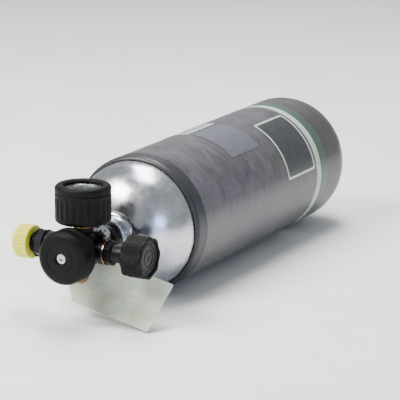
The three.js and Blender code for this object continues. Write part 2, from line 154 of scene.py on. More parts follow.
def add_node(tree, kind, inputs=None, out=0, stops=(), **settings):
    """Adds one node and returns one of its outputs. inputs gives each socket a value, or an output to
    link to it. stops are a ramp's places, each with a grey or a hex colour."""
    made = tree.nodes.new("ShaderNode" + kind)
    for name, value in settings.items():
        setattr(made, name, value)
    for socket, value in (inputs or {}).items():
        if isinstance(value, bpy.types.NodeSocket):
            tree.links.new(value, made.inputs[socket])
        else:
            made.inputs[socket].default_value = value
    for i, (position, colour) in enumerate(stops):
        bars = made.color_ramp.elements
        bar = bars[i] if i < len(bars) else bars.new(position)
        bar.position = position
        bar.color = linear(colour) if isinstance(colour, str) else (colour, colour, colour, 1)
    return made.outputs[out]


def per(size_mm):
    """The scale of a pattern whose marks are size_mm apart."""
    return 1 / (size_mm * MM)


def new_material(name, **constants):
    """A material whose shader has its constant values. Returns it with its tree, shader and coordinates."""
    material = bpy.data.materials.new(name)
    material.use_nodes = True
    tree = material.node_tree
    shader = tree.nodes["Principled BSDF"]
    for socket, value in constants.items():
        shader.inputs[socket.replace("_", " ")].default_value = value
    place = add_node(tree, "TexCoord", out="Object")
    print("material", name)
    return material, tree, shader, place


def link(tree, shader, **outputs):
    """Joins outputs to the shader's sockets."""
    for socket, output in outputs.items():
        tree.links.new(output, shader.inputs[socket.replace("_", " ")])


# %% Outlines and spinning
TINY = 1e-6
WELD = 4e-6  # metres: corners closer than this are one corner


def arc(centre_r, centre_s, radius_r, radius_s, first, last, steps):
    """Points of an ellipse's arc between two angles in degrees, as (radius, station)."""
    turns = [math.radians(first + (last - first) * i / steps) for i in range(steps + 1)]
    return [(centre_r + radius_r * math.cos(a), centre_s + radius_s * math.sin(a)) for a in turns]


def softened(corners, rounding=0.5, steps=3):
    """Rounds the corners of a closed outline, except those on the axis."""
    points = []
    for i, corner in enumerate(corners):
        here = Vector(corner)
        back = Vector(corners[i - 1]) - here
        ahead = Vector(corners[(i + 1) % len(corners)]) - here
        reach = min(rounding, 0.4 * back.length, 0.4 * ahead.length)
        if here.x < TINY or back.angle(-ahead, 0) < math.radians(12):
            points.append(tuple(here))
            continue
        start = here + back.normalized() * reach
        end = here + ahead.normalized() * reach
        for k in range(steps + 1):
            share = k / steps
            points.append(tuple(start.lerp(here, share).lerp(here.lerp(end, share), share)))
    return points


def filled(outline, spacing):
    """Adds points to the long edges of a closed outline, no further apart than spacing."""
    points = []
    for here, ahead in zip(outline, outline[1:] + outline[:1]):
        here = Vector(here)
        ahead = Vector(ahead)
        on_axis = here.x < TINY and ahead.x < TINY
        count = 1 if on_axis else max(1, math.ceil((ahead - here).length / spacing))
        points += [tuple(here.lerp(ahead, k / count)) for k in range(count)]
    return points


def as_object(name, mesh, smooth_to=32):
    """Welds a mesh and puts it in the scene, shaded smooth except across edges sharper than the angle."""
    work = bmesh.new()
    work.from_mesh(mesh)
    bmesh.ops.remove_doubles(work, verts=work.verts, dist=WELD)
    bmesh.ops.dissolve_degenerate(work, edges=work.edges, dist=WELD)
    work.to_mesh(mesh)
    work.free()
    mesh.shade_smooth()
    mesh.set_sharp_from_angle(angle=math.radians(smooth_to))
    piece = bpy.data.objects.new(name, mesh)
    bpy.context.scene.collection.objects.link(piece)
    return piece


def from_bmesh(name, work, place, smooth_to=32):
    """Ends work on a mesh: faces turned outward, moved to its place, put in the scene."""
    bmesh.ops.recalc_face_normals(work, faces=work.faces)
    mesh = bpy.data.meshes.new(name)
    work.to_mesh(mesh)
    work.free()
    mesh.transform(place)
    return as_object(name, mesh, smooth_to)


def spun(name, place, outline, rule=None, segments=96, smooth_to=32):
    """Spins a closed outline of (radius, station) round local Z.
    rule(radius, station, angle) gives the radius there, for anything that isn't plain round."""
    work = bmesh.new()
    rings = []
    for radius, station in outline:
        if radius < TINY:
            rings.append([work.verts.new((0, 0, station))])
            continue
        ring = []
        for i in range(segments):
            angle = 2 * math.pi * i / segments
            reach = rule(radius, station, angle) if rule else radius
            ring.append(work.verts.new((reach * math.cos(angle), reach * math.sin(angle), station)))
        rings.append(ring)
    for near, far in zip(rings, rings[1:] + rings[:1]):
        if len(near) == 1 and len(far) == 1:
            continue
        for i in range(segments):
            j = (i + 1) % segments
            corners = (near[i % len(near)], near[j % len(near)], far[j % len(far)], far[i % len(far)])
            work.faces.new(list(dict.fromkeys(corners)))
    return from_bmesh(name, work, place, smooth_to)


def hexagon(across_flats, low=-math.inf, high=math.inf):
    """A rule that mills six flats between two stations. The outline's own chamfer rounds their corners."""
    def flats(radius, station, angle):
        if not low <= station <= high:
            return radius
        turn = (angle + math.pi / 6) % (math.pi / 3) - math.pi / 6
        return min(radius, across_flats / 2 / math.cos(turn))
    return flats


def thread(pitch, depth, low, high, crest):
    """A rule that cuts a thread between two stations, where the outline reaches the crest radius."""
    def groove(radius, station, angle):
        if radius < crest - depth or not low <= station <= high:
            return radius
        turn = (station / pitch + angle / (2 * math.pi)) % 1
        return radius - depth * abs(2 * turn - 1)
    return groove


def both(*rules):
    """Several rules one after another."""
    def joined(radius, station, angle):
        for rule in rules:
            radius = rule(radius, station, angle)
        return radius
    return joined


def meshed(guide):
    """The mesh that a curve, a text or a piece with modifiers comes out as. The guide is removed."""
    bpy.context.view_layer.update()
    mesh = bpy.data.meshes.new_from_object(guide.evaluated_get(bpy.context.evaluated_depsgraph_get()))
    bpy.data.objects.remove(guide)
    return mesh


def applied(piece):
    """The same piece with its modifiers made real."""
    name = piece.name
    return as_object(name, meshed(piece))


def combined(base, others, operation):
    """Joins pieces to a base or cuts them from it, one after another, and removes them."""
    for other in others:
        step = base.modifiers.new("step", "BOOLEAN")
        step.operation = operation
        step.solver = "EXACT"
        step.object = other
        base = applied(base)
        bpy.data.objects.remove(other)
    return base


def from_curve(name, curve):
    """The mesh of a curve or a text."""
    guide = bpy.data.objects.new(name + "_guide", curve)
    bpy.context.scene.collection.objects.link(guide)
    return meshed(guide)


def wire(name, points, radius):
    """A round wire of that radius along a smooth curve guided by points, all in metres."""
    line = bpy.data.curves.new(name, "CURVE")
    line.dimensions = "3D"
    line.bevel_depth = radius
    line.bevel_resolution = 2
    line.resolution_u = 5
    line.use_fill_caps = True
    run = line.splines.new("NURBS")
    run.points.add(len(points) - 1)
    for spot, point in zip(run.points, points):
        spot.co = (*point, 1)
    run.order_u = 4
    run.use_endpoint_u = True
    return as_object(name, from_curve(name, line))


def settle(piece, material, node, stands_for=True):
    """Gives a piece its material and the body that the record gives its node, and hides the node's plain
    solid when the piece stands for it.
    """
    piece.data.materials.clear()
    piece.data.materials.append(material)
    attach(piece, BODY_OF[node])
    if stands_for:
        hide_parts(node)
    print(f"{piece.name}: {len(piece.data.polygons)} faces, {material.name}, on {BODY_OF[node]}")
    return piece


# %% [markdown]
# ## Bare spun aluminium
# The flask's front dome is spun to shape over a former, and then wiped and handled for years.
# Spinning leaves fine rings round the axis, and handling polishes the metal in blotches. So the
# colour is clean aluminium, the roughness wanders, and a low relief runs in rings. The real
# rings are 0.3 mm apart, which is too fine to show, so they are drawn 1.5 mm apart.

# %% Spun aluminium
material, tree, shader, place = new_material("spun_aluminium", Metallic=1.0)
rings = add_node(tree, "Mapping", {"Vector": place, "Scale": (0.05, 1, 0.05)})
spin_marks = add_node(tree, "TexNoise", {"Vector": rings, "Scale": per(1.5), "Detail": 3})
blotches = add_node(tree, "TexNoise", {"Vector": place, "Scale": per(22), "Detail": 5, "Roughness": 0.6})
metal = add_node(tree, "ValToRGB", {"Fac": blotches}, stops=[(0.3, "#aeb1b9"), (0.7, "#d3d5db")])
gloss = add_node(tree, "MapRange", {"Value": blotches, "From Min": 0.3, "From Max": 0.7,
                                    "To Min": 0.17, "To Max": 0.34})
height = add_node(tree, "Bump", {"Height": spin_marks, "Distance": 0.04 * MM, "Strength": 0.6}, out="Normal")
link(tree, shader, Base_Color=metal, Roughness=gloss, Normal=height)
SPUN_ALUMINIUM = material

# %% [markdown]
# ## Fibre wound in resin, under a gel coat
# Hoop after hoop of tow is wound over the flask and cured under a clear coat, so the eye sees a
# cloudy grey with fine streaks round the hoops, a faint diamond where the windings cross, and a
# gloss on top. The streaks are about 2 mm apart. Two painted rings lie under the coat, so they are
# part of the finish and have no edge. A darker, olive stretch at the base is drawn the same way; it is
# partly the resin's own tone and partly painted shade that the base end lies in.
# The rings are placed by their distance from the base.

# %% Wound fibre
CROSSINGS = 9  # diamonds round the cylinder
CROSSING_PITCH = 46  # mm from one diamond to the next along it
RING_EDGE = 0.7  # mm over which a painted ring fades out
COLOUR_A, COLOUR_B, MIXED = 6, 7, 2  # the Mix node's colour sockets


def wound_fibre(name, gloss, dark, light, cool, warm, rings):
    """Cured winding: mottled colour between dark and light, tinted between cool and warm."""
    material, tree, shader, place = new_material(name, IOR=1.5, Coat_Weight=gloss, Coat_Roughness=0.14)
    hoops = add_node(tree, "Mapping", {"Vector": place, "Scale": (0.06, 1, 0.06)})
    streaks = add_node(tree, "TexNoise", {"Vector": hoops, "Scale": per(2.2), "Detail": 4, "Roughness": 0.7})
    drawn_out = add_node(tree, "Mapping", {"Vector": place, "Scale": (0.6, 1, 0.6)})
    clouds = add_node(tree, "TexNoise", {"Vector": drawn_out, "Scale": per(21), "Detail": 8,
                                         "Roughness": 0.7, "Distortion": 0.7})
    tint = add_node(tree, "TexNoise", {"Vector": place, "Scale": per(70), "Detail": 2})

    spot = add_node(tree, "SeparateXYZ", {"Vector": place}).node
    raised = add_node(tree, "Math", {0: spot.outputs["Z"], 1: AXIS_Z * MM}, operation="SUBTRACT")
    angle = add_node(tree, "Math", {0: raised, 1: spot.outputs["X"]}, operation="ARCTAN2")
    station = add_node(tree, "Math", {0: BASE_Y * MM, 1: spot.outputs["Y"]}, operation="SUBTRACT")
    along = add_node(tree, "Math", {0: station, 1: 2 * math.pi * per(CROSSING_PITCH)}, operation="MULTIPLY")
    waves = []
    for turns in (CROSSINGS, -CROSSINGS):
        phase = add_node(tree, "Math", {0: angle, 1: turns, 2: along}, operation="MULTIPLY_ADD")
        waves.append(add_node(tree, "Math", {0: phase}, operation="SINE"))
    diamonds = add_node(tree, "Math", {0: waves[0], 1: waves[1]}, operation="MULTIPLY")

    shade = add_node(tree, "Math", {0: streaks, 1: 0.3, 2: clouds}, operation="MULTIPLY_ADD")
    shade = add_node(tree, "Math", {0: diamonds, 1: 0.025, 2: shade}, operation="MULTIPLY_ADD")
    fibre = add_node(tree, "ValToRGB", {"Fac": shade}, stops=[(0.36, dark), (0.98, light)])
    hue = add_node(tree, "ValToRGB", {"Fac": tint}, stops=[(0.38, cool), (0.62, warm)])
    colour = add_node(tree, "Mix", {0: 1.0, COLOUR_A: fibre, COLOUR_B: hue}, out=MIXED,
                      data_type="RGBA", blend_type="MULTIPLY")
    for start, end, paint, cover in rings:
        after = add_node(tree, "MapRange", {"Value": station, "From Min": (start - RING_EDGE) * MM,
                                            "From Max": start * MM, "To Min": 0, "To Max": cover})
        before = add_node(tree, "MapRange", {"Value": station, "From Min": end * MM,
                                             "From Max": (end + RING_EDGE) * MM, "To Min": 1, "To Max": 0})
        band = add_node(tree, "Math", {0: after, 1: before}, operation="MULTIPLY")
        colour = add_node(tree, "Mix", {0: band, COLOUR_A: colour, COLOUR_B: linear(paint)}, out=MIXED,
                          data_type="RGBA")
    rough = add_node(tree, "MapRange", {"Value": clouds, "From Min": 0.3, "From Max": 0.7,
                                        "To Min": 0.42, "To Max": 0.6})
    height = add_node(tree, "Bump", {"Height": streaks, "Distance": 0.12 * MM, "Strength": 0.55},
                      out="Normal")
    link(tree, shader, Base_Color=colour, Roughness=rough, Normal=height)
    return material


# each ring: where it starts and ends in mm from the base, its colour, and how much it covers
# the darker stretch at the base end: partly the resin's own olive tone, partly painted shade
BASE_TONE_AND_SHADE = (-1, 97, "#34362b", 0.62)
GREEN_RING = (103, 112, "#2c5341", 0.95)
PALE_RING = (116, 127, "#b4c4ae", 0.95)
WRAP_FIBRE = wound_fibre("wound_glass_under_gel_coat", 0.35, "#2a292c", "#6f6e73", "#d8d2e2", "#e3e1da",
                         [BASE_TONE_AND_SHADE, GREEN_RING, PALE_RING])
WRAP_END = wound_fibre("resin_rich_winding_end", 0.2, "#131418", "#282a31", "#d8dcea", "#e4e8e4", [])

# %% [markdown]
# ## Hard-anodised aluminium
# The valve is forged from aluminium, machined, bead-blasted and hard-anodised black. The oxide
# layer is dark and dull, and a little metal shows through it as a soft sheen. Blasting leaves a
# fine grain of about 0.1 mm, which is drawn at 0.5 mm so that it shows. Edges that are
# knocked in use wear to a paler grey, and pointiness finds them.

# %% Anodised aluminium
material, tree, shader, place = new_material("hard_anodised_aluminium", Metallic=0.85)
grain = add_node(tree, "TexNoise", {"Vector": place, "Scale": per(0.5), "Detail": 2})
handling = add_node(tree, "TexNoise", {"Vector": place, "Scale": per(9), "Detail": 5, "Roughness": 0.65})
edges = add_node(tree, "NewGeometry", out="Pointiness")
worn = add_node(tree, "Math", {0: handling, 1: 0.16, 2: edges}, operation="MULTIPLY_ADD")
oxide = add_node(tree, "ValToRGB", {"Fac": worn},
                 stops=[(0.57, "#1f2023"), (0.63, "#27282b"), (0.74, "#5c5e62")])
rough = add_node(tree, "MapRange", {"Value": handling, "From Min": 0.3, "From Max": 0.7,
                                    "To Min": 0.36, "To Max": 0.5})
height = add_node(tree, "Bump", {"Height": grain, "Distance": 0.03 * MM, "Strength": 0.5}, out="Normal")
link(tree, shader, Base_Color=oxide, Roughness=rough, Normal=height)
ANODISED = material

# %% [markdown]
# ## Moulded rubber
# The gauge guard, the wheel's grip and the bumper are moulded synthetic rubber, black with soot.
# Rubber scatters light widely, so its roughness is high, and soot on its skin keeps the
# highlights faint, so the specular level is low. The mould's spark-eroded face leaves a grain of
# about 0.4 mm, which is drawn a little coarser so that it shows, and dust dulls it in patches.

# %% Rubber
def moulded_rubber(name, black, dusty, roughness, grain_mm):
    """Black rubber as it leaves a spark-eroded mould, with dust in patches."""
    material, tree, shader, place = new_material(name, IOR=1.52, Specular_IOR_Level=0.12)
    grain = add_node(tree, "TexNoise", {"Vector": place, "Scale": per(grain_mm), "Detail": 3})
    dust = add_node(tree, "TexNoise", {"Vector": place, "Scale": per(14), "Detail": 6, "Roughness": 0.7})
    colour = add_node(tree, "ValToRGB", {"Fac": dust}, stops=[(0.45, black), (0.75, dusty)])
    rough = add_node(tree, "MapRange", {"Value": dust, "From Min": 0.35, "From Max": 0.7,
                                        "To Min": roughness, "To Max": roughness + 0.18})
    height = add_node(tree, "Bump", {"Height": grain, "Distance": 0.06 * MM, "Strength": 0.5}, out="Normal")
    link(tree, shader, Base_Color=colour, Roughness=rough, Normal=height)
    return material


RUBBER = moulded_rubber("moulded_black_rubber", "#09090a", "#171717", 0.46, 0.8)
SEAL = moulded_rubber("nitrile_seal_rubber", "#121213", "#1d1d1e", 0.38, 0.5)

# %% [markdown]
# ## Turned metals
# Screws, nuts, springs and the gauge's works are turned or drawn from bar. A lathe's tool leaves
# a fine pitch of about 0.1 mm, drawn here at 0.5 mm. One function makes them all, because only
# the metal's colour, its tarnish and its smoothness differ.

# %% Turned metals
def turned_metal(name, clean, tarnished, roughness):
    """Metal from a lathe: its own colour, tarnish in patches and fine tool marks."""
    material, tree, shader, place = new_material(name, Metallic=1.0)
    tarnish = add_node(tree, "TexNoise", {"Vector": place, "Scale": per(6), "Detail": 4, "Roughness": 0.6})
    marks = add_node(tree, "TexNoise", {"Vector": place, "Scale": per(0.5), "Detail": 2})
    colour = add_node(tree, "ValToRGB", {"Fac": tarnish}, stops=[(0.4, clean), (0.75, tarnished)])
    rough = add_node(tree, "MapRange", {"Value": tarnish, "From Min": 0.3, "From Max": 0.7,
                                        "To Min": roughness, "To Max": roughness + 0.15})
    height = add_node(tree, "Bump", {"Height": marks, "Distance": 0.01 * MM, "Strength": 0.4}, out="Normal")
    link(tree, shader, Base_Color=colour, Roughness=rough, Normal=height)
    return material


STEEL = turned_metal("turned_stainless_steel", "#c9cbce", "#a3a5a8", 0.2)
BRASS = turned_metal("turned_brass", "#d9bb74", "#a98a4c", 0.22)
BLACK_STEEL = turned_metal("blackened_steel", "#2c2d30", "#1c1d20", 0.36)
COPPER = turned_metal("drawn_copper", "#d99a75", "#9c6045", 0.28)

# %% [markdown]
# ## Plastics
# The dust cap is soft yellow polythene: light enters it a little, so its edges glow and its
# highlights are broad. The seat and washer are cast nylon. The gauge's window is clear
# polycarbonate, which bends light a little more than window glass does: its index is 1.58.

# %% Plastics
def moulded_plastic(name, bright, dull, roughness, ior, depth_mm):
    """An unpainted moulding: nearly even colour, a satin skin and a little light inside it."""
    material, tree, shader, place = new_material(name, IOR=ior, Subsurface_Weight=0.12,
                                                 Subsurface_Scale=depth_mm * MM)
    patches = add_node(tree, "TexNoise", {"Vector": place, "Scale": per(11), "Detail": 5, "Roughness": 0.6})
    skin = add_node(tree, "TexNoise", {"Vector": place, "Scale": per(0.9), "Detail": 2})
    colour = add_node(tree, "ValToRGB", {"Fac": patches}, stops=[(0.35, bright), (0.75, dull)])
    rough = add_node(tree, "MapRange", {"Value": patches, "From Min": 0.3, "From Max": 0.7,
                                        "To Min": roughness, "To Max": roughness + 0.14})
    height = add_node(tree, "Bump", {"Height": skin, "Distance": 0.03 * MM, "Strength": 0.4}, out="Normal")
    link(tree, shader, Base_Color=colour, Roughness=rough, Normal=height)
    return material


POLYTHENE = moulded_plastic("moulded_yellow_polythene", "#e3df3d", "#c8c42e", 0.36, 1.51, 1.2)
NYLON = moulded_plastic("cast_nylon", "#e6e1d2", "#d5cebb", 0.42, 1.53, 1.5)

material, tree, shader, place = new_material("clear_polycarbonate", IOR=1.58, Transmission_Weight=1.0)
scuffs = add_node(tree, "TexNoise", {"Vector": place, "Scale": per(5), "Detail": 6, "Roughness": 0.7})
clear = add_node(tree, "ValToRGB", {"Fac": scuffs}, stops=[(0.3, "#f6fafa"), (0.8, "#e8eeee")])
rough = add_node(tree, "MapRange", {"Value": scuffs, "From Min": 0.5, "From Max": 0.8,
                                    "To Min": 0.02, "To Max": 0.16})
link(tree, shader, Base_Color=clear, Roughness=rough)
POLYCARBONATE = material

# %% [markdown]
# ## Paint, print and card
# The dial is a tin disc sprayed white, its ticks and numbers are screen-printed, and the pointer
# is lacquered. The tag is pale green card: matt, with fibres in it and faint ruled lines for
# notes. The labels on the cylinder are printed film under the clear coat, so they are glossy.
# They carry no words, only the blocks and lines of a plain layout.

# %% Paints and inks
def painted(name, colour, aged, roughness, fleck_mm, gloss=0.0):
    """A coat of paint or ink with a slight change of tone."""
    material, tree, shader, place = new_material(name, IOR=1.5, Coat_Weight=gloss, Coat_Roughness=0.1)
    flecks = add_node(tree, "TexNoise", {"Vector": place, "Scale": per(fleck_mm), "Detail": 5,
                                         "Roughness": 0.6})
    tone = add_node(tree, "ValToRGB", {"Fac": flecks}, stops=[(0.4, colour), (0.8, aged)])
    height = add_node(tree, "Bump", {"Height": flecks, "Distance": 0.02 * MM, "Strength": 0.3}, out="Normal")
    link(tree, shader, Base_Color=tone, Normal=height)
    shader.inputs["Roughness"].default_value = roughness
    return material


DIAL_PAINT = painted("sprayed_white_enamel", "#eeeee9", "#dfdfd6", 0.45, 3)
DIAL_INK = painted("screen_printed_black_ink", "#161617", "#232324", 0.5, 2)
ZONE_INK = painted("screen_printed_green_ink", "#2f7d4a", "#3f8a58", 0.5, 2)
LACQUER = painted("red_lacquer", "#b5281f", "#9c2018", 0.3, 3, gloss=0.4)
FILM_DARK = painted("printed_film_black", "#1f2124", "#34363a", 0.35, 9, gloss=0.5)
FILM_PALE = painted("printed_film_mint", "#bccdc0", "#a6b8ad", 0.35, 12, gloss=0.8)
FILM_GREY = painted("printed_film_grey", "#585864", "#4c4d57", 0.45, 10, gloss=0.35)
FILM_GREEN = painted("printed_film_green", "#4e7d68", "#5e8a75", 0.35, 10, gloss=0.8)

# %% Card
RULE_PITCH = 8  # mm between the ruled lines, which run along the card
material, tree, shader, place = new_material("pale_green_card", IOR=1.45, Roughness=0.82)
spot = add_node(tree, "SeparateXYZ", {"Vector": place}).node
rows = add_node(tree, "Math", {0: spot.outputs["Y"], 1: RULE_PITCH * MM}, operation="FLOORED_MODULO")
line = add_node(tree, "Math", {0: rows, 1: 0.7 * MM}, operation="LESS_THAN")
inside = add_node(tree, "Math", {0: spot.outputs["X"], 1: 14 * MM}, operation="GREATER_THAN")
ruled = add_node(tree, "Math", {0: line, 1: inside}, operation="MULTIPLY")
ruled = add_node(tree, "Math", {0: ruled, 1: 0.4}, operation="MULTIPLY")
fibres = add_node(tree, "TexNoise", {"Vector": place, "Scale": per(1.6), "Detail": 6, "Roughness": 0.75})
soiling = add_node(tree, "TexNoise", {"Vector": place, "Scale": per(30), "Detail": 4})
pulp = add_node(tree, "ValToRGB", {"Fac": fibres}, stops=[(0.35, "#c3cbba"), (0.7, "#cfd6c7")])
dirt = add_node(tree, "ValToRGB", {"Fac": soiling}, stops=[(0.4, "#ffffff"), (0.75, "#d9d6c9")])
pulp = add_node(tree, "Mix", {0: 1.0, COLOUR_A: pulp, COLOUR_B: dirt}, out=MIXED, data_type="RGBA",
                blend_type="MULTIPLY")
colour = add_node(tree, "Mix", {0: ruled, COLOUR_A: pulp, COLOUR_B: linear("#6f8f7c")}, out=MIXED,
                  data_type="RGBA")
height = add_node(tree, "Bump", {"Height": fibres, "Distance": 0.05 * MM, "Strength": 0.4}, out="Normal")
link(tree, shader, Base_Color=colour, Normal=height)
CARD = material
FIBRE_PATCH = painted("pressed_brown_fibre", "#8a6a4c", "#75583d", 0.7, 2)

# %% [markdown]
# ## The cylinder
# The flask is one seamless piece: pole boss, base dome, straight wall, front dome, neck. Its
# outline runs up the outside and back down the inside, and spinning it gives a closed wall.
# The domes are ellipses, which is how a spun dome carries pressure with little metal. The wrap
# covers all but the front dome, and it stands a hair inside the plain solid that it replaces.

# %% Flask
WRAP_THICK = 5
WALL = 6
BASE_DOME = 62
POLE_ANGLE = 81
BAND_END = TANK_LENGTH - (box_mm("shoulder_band")[0].y - liner_low.y)
BAND_START = BASE_Y - wrap_low.y
LINER_R = TANK_R - WRAP_THICK
DOME_START = BAND_END - 2
DOME_HEIGHT = 58
NECK_R = 22
NECK_BORE = 9.8
GROOVE_IN, GROOVE_OUT, GROOVE_DEEP = 10.4, 13.6, 2.2
SMOOTH = 160  # segments round the cylinder


def neck(length):
    """The outline from the front dome to the bore: fillet, land, edge break and seal groove."""
    fillet = arc(NECK_R + 6, length - 8, 6, 7, 250, 180, 6)
    edge = [(NECK_R, length - 1.2), (NECK_R - 1.2, length)]
    groove = [(GROOVE_OUT, length), (GROOVE_OUT, length - GROOVE_DEEP), (GROOVE_IN, length - GROOVE_DEEP),
              (GROOVE_IN, length)]
    return [*fillet, *edge, *groove, (NECK_BORE, length)]


flask = [(0, 0.2), (9.6, 0.2), (10.6, 1.2)]
flask += arc(0, BASE_DOME, LINER_R, BASE_DOME - WRAP_THICK, -POLE_ANGLE, 0, 16)
flask += arc(0, DOME_START, LINER_R - AIR, DOME_HEIGHT - AIR, 2, 68, 30)
flask += neck(TANK_LENGTH - 0.05)
flask += arc(0, DOME_START, LINER_R - WALL, DOME_HEIGHT - 4, 79, 0, 12)
flask += arc(0, BASE_DOME, LINER_R - WALL, BASE_DOME - WRAP_THICK - WALL, 0, -89, 12)
flask += [(0, WRAP_THICK + WALL)]
settle(spun("flask", FROM_BASE, flask, segments=SMOOTH), SPUN_ALUMINIUM, "liner")

# %% [markdown]
# ## The winding
# Tows are laid side by side, so the wrap's surface isn't a perfect tube: each pass stands a
# tenth of a millimetre or two above the last, and the resin pools between the passes. A rule
# lowers the radius by a small saw-tooth that climbs as it goes round, with a slow unevenness on
# top. It only ever lowers it, so the wrap stays inside its true size.

# %% Winding
PASS_WIDTH = 11
PASS_STEP = 0.16
UNEVEN = 0.22


def wound(radius, station, angle):
    """The outer face of a winding: overlapping passes on a helix, and a slow unevenness."""
    if radius < LINER_R + 1 and station > BASE_DOME:
        return radius
    lap = (station / PASS_WIDTH + angle / (2 * math.pi)) % 1
    sway = math.sin(3 * angle + station / 31) * math.sin(2 * angle - station / 47)
    return radius - (PASS_STEP * lap ** 3 + UNEVEN * (0.5 + 0.5 * sway)) * min(1, radius / TANK_R)


inner = LINER_R + 0.3
outer = TANK_R - 0.35
wrap = [(inner, BAND_START), *arc(0, BASE_DOME, inner, BASE_DOME - WRAP_THICK + 0.3, 0, -POLE_ANGLE, 14)]
wrap += [*arc(0, BASE_DOME, outer, BASE_DOME - 0.15, -POLE_ANGLE + 1, 0, 34), (outer, BAND_START - 0.4),
         (outer - 0.4, BAND_START)]
winding = spun("overwrap_winding", FROM_BASE, filled(wrap, 2.6), wound, segments=SMOOTH)
settle(winding, WRAP_FIBRE, "overwrap")

# %% Dark end of the winding
HOOP_PITCH = 3.4
HOOP_DEEP = 0.16


def wave(turn):
    """A smooth wave between 0 and 1, with a crest where turn is nought."""
    return 0.5 + 0.5 * math.cos(turn)


def hooped(radius, station, angle):
    """Single tows side by side, each a shallow crown."""
    if radius < LINER_R + 1:
        return radius
    return radius - HOOP_DEEP * wave(2 * math.pi * station / HOOP_PITCH + angle)


start = BAND_START + 0.5
band = [(inner, start), (outer - 0.5, start), (outer, start + 0.6)]
band += [*arc(outer - 5, BAND_END - 5.2, 5, 5, 0, 82, 8), (inner, BAND_END - 0.2)]
winding_end = spun("shoulder_winding", FROM_BASE, filled(band, 0.7), hooped, segments=SMOOTH)
settle(winding_end, WRAP_END, "shoulder_band")

# %% [markdown]
# ## Labels under the coat
# A label is a rectangle of film that lies on the cylinder's curve. Each one is made as a grid
# bent round the axis, with rounded corners, and given a film's thickness so that it is a
# closed solid. A label is placed by its distance from the base and its angle round the axis.

# %% Labels
FILM = 0.14
UPRIGHT = (Matrix.Translation(Vector((0, BASE_Y, AXIS_Z)) * MM) @ Matrix.Rotation(math.pi / 2, 4, "X")
           @ Matrix.Scale(MM, 4))  # like FROM_BASE, with angles that start at +X and rise towards +Z
COLUMNS = 24
LABEL_R = TANK_R - 0.1


def walls(work, low, high):
    """Joins two rings of corners by four-sided faces."""
    for i in range(len(low)):
        j = (i + 1) % len(low)
        work.faces.new((low[i], low[j], high[j], high[i]))


def label(name, material, start, end, centre, width, corner=3.0, lift=0.0):
    """A film label from one station to another, centred on an angle in degrees, width mm round the curve."""
    across = [-0.5 + i / COLUMNS for i in range(COLUMNS + 1)]
    bends = [corner * (1 - math.cos(math.radians(18 * k))) for k in range(6)]
    stations = [start + bend for bend in bends] + [end - bend for bend in reversed(bends)]
    work = bmesh.new()
    sheets = []
    for radius in (LABEL_R + lift - FILM, LABEL_R + lift):
        rows = []
        for station in stations:
            inset = min(station - start, end - station, corner)
            pull = corner - math.sqrt(corner ** 2 - (corner - inset) ** 2)
            angles = [math.radians(centre) + share * (width - 2 * pull) / TANK_R for share in across]
            rows.append([work.verts.new((radius * math.cos(angle), radius * math.sin(angle), station))
                         for angle in angles])
        for near, far in zip(rows, rows[1:]):
            for i in range(COLUMNS):
                work.faces.new((near[i], near[i + 1], far[i + 1], far[i]))
        up = [row[-1] for row in rows[1:-1]]
        down = [row[0] for row in rows[-2:0:-1]]
        sheets.append([*rows[0], *up, *rows[-1][::-1], *down])
    walls(work, *sheets)
    piece = from_bmesh(name, work, UPRIGHT, smooth_to=40)
    return settle(piece, material, "overwrap", stands_for=False)


LABEL_TURN = 38  # degrees from +X towards the gauge
label("label_border", FILM_PALE, 133, 207, LABEL_TURN, 84, lift=-0.05)
label("label_block", FILM_DARK, 136, 204, LABEL_TURN, 78)
label("label_note", FILM_GREY, 240, 312, LABEL_TURN + 30, 60)
label("label_panel", FILM_PALE, 240, 312, LABEL_TURN + 77, 62)
for row in range(3):
    start = 252 + 18 * row
    label(f"label_line_{row + 1}", FILM_GREEN, start, start + 9, LABEL_TURN + 77, 44, corner=1.5, lift=0.05)

# %% [markdown]
# ## The valve body
# The body is a forging: a hub with an arm to each side and one up, blended by generous fillets
# that no lathe could cut. The way to get such fillets is to make the rough shapes, fuse them in
# one skin by a voxel remesh, and relax that skin. What a machine then cuts is crisp, so the faces
# of the arms and the inlet's flange are added to the fused skin, and the bores are cut from it,
# by exact booleans.

# %% Forged body
VOXEL = 0.9
RELAX = 10
ARM_OUTLET = 44
ARM_WHEEL = 29.5
ARM_GAUGE = 24
NECK_FACE = -50
INLET_END = -78
SCREW_BORE = 2.8

rough = [
    spun("hub", TO_FRONT, softened([(0, -23), (17, -23), (20.6, -18), (20.6, 18), (17, 22), (0, 22)], 3)),
    spun("collar", TO_FRONT, [(0, -44), (13.6, -44), (13.6, 0), (0, 0)]),
    spun("outlet_arm", TO_OUTLET, [(0, 0), (14.2, 0), (14.2, ARM_OUTLET - 3), (0, ARM_OUTLET - 3)]),
    spun("wheel_arm", TO_WHEEL, [(0, 0), (13.6, 0), (13.6, ARM_WHEEL - 3), (0, ARM_WHEEL - 3)]),
    spun("gauge_arm", TO_GAUGE, [(0, 0), (13, 0), (13, 19), (10.6, ARM_GAUGE - 2), (0, ARM_GAUGE - 2)]),
    spun("burst_boss", TO_BURST, [(0, 0), (8.4, 0), (8.4, 20), (7, 21.4), (0, 21.4)]),
]
forging = combined(rough[0], rough[1:], "UNION")
skin = forging.modifiers.new("skin", "REMESH")
skin.mode = "VOXEL"
skin.voxel_size = VOXEL * MM
relaxed = forging.modifiers.new("relaxed", "SMOOTH")
relaxed.factor = 0.6
relaxed.iterations = RELAX
forging.name = "valve_forging"
forging = applied(forging)

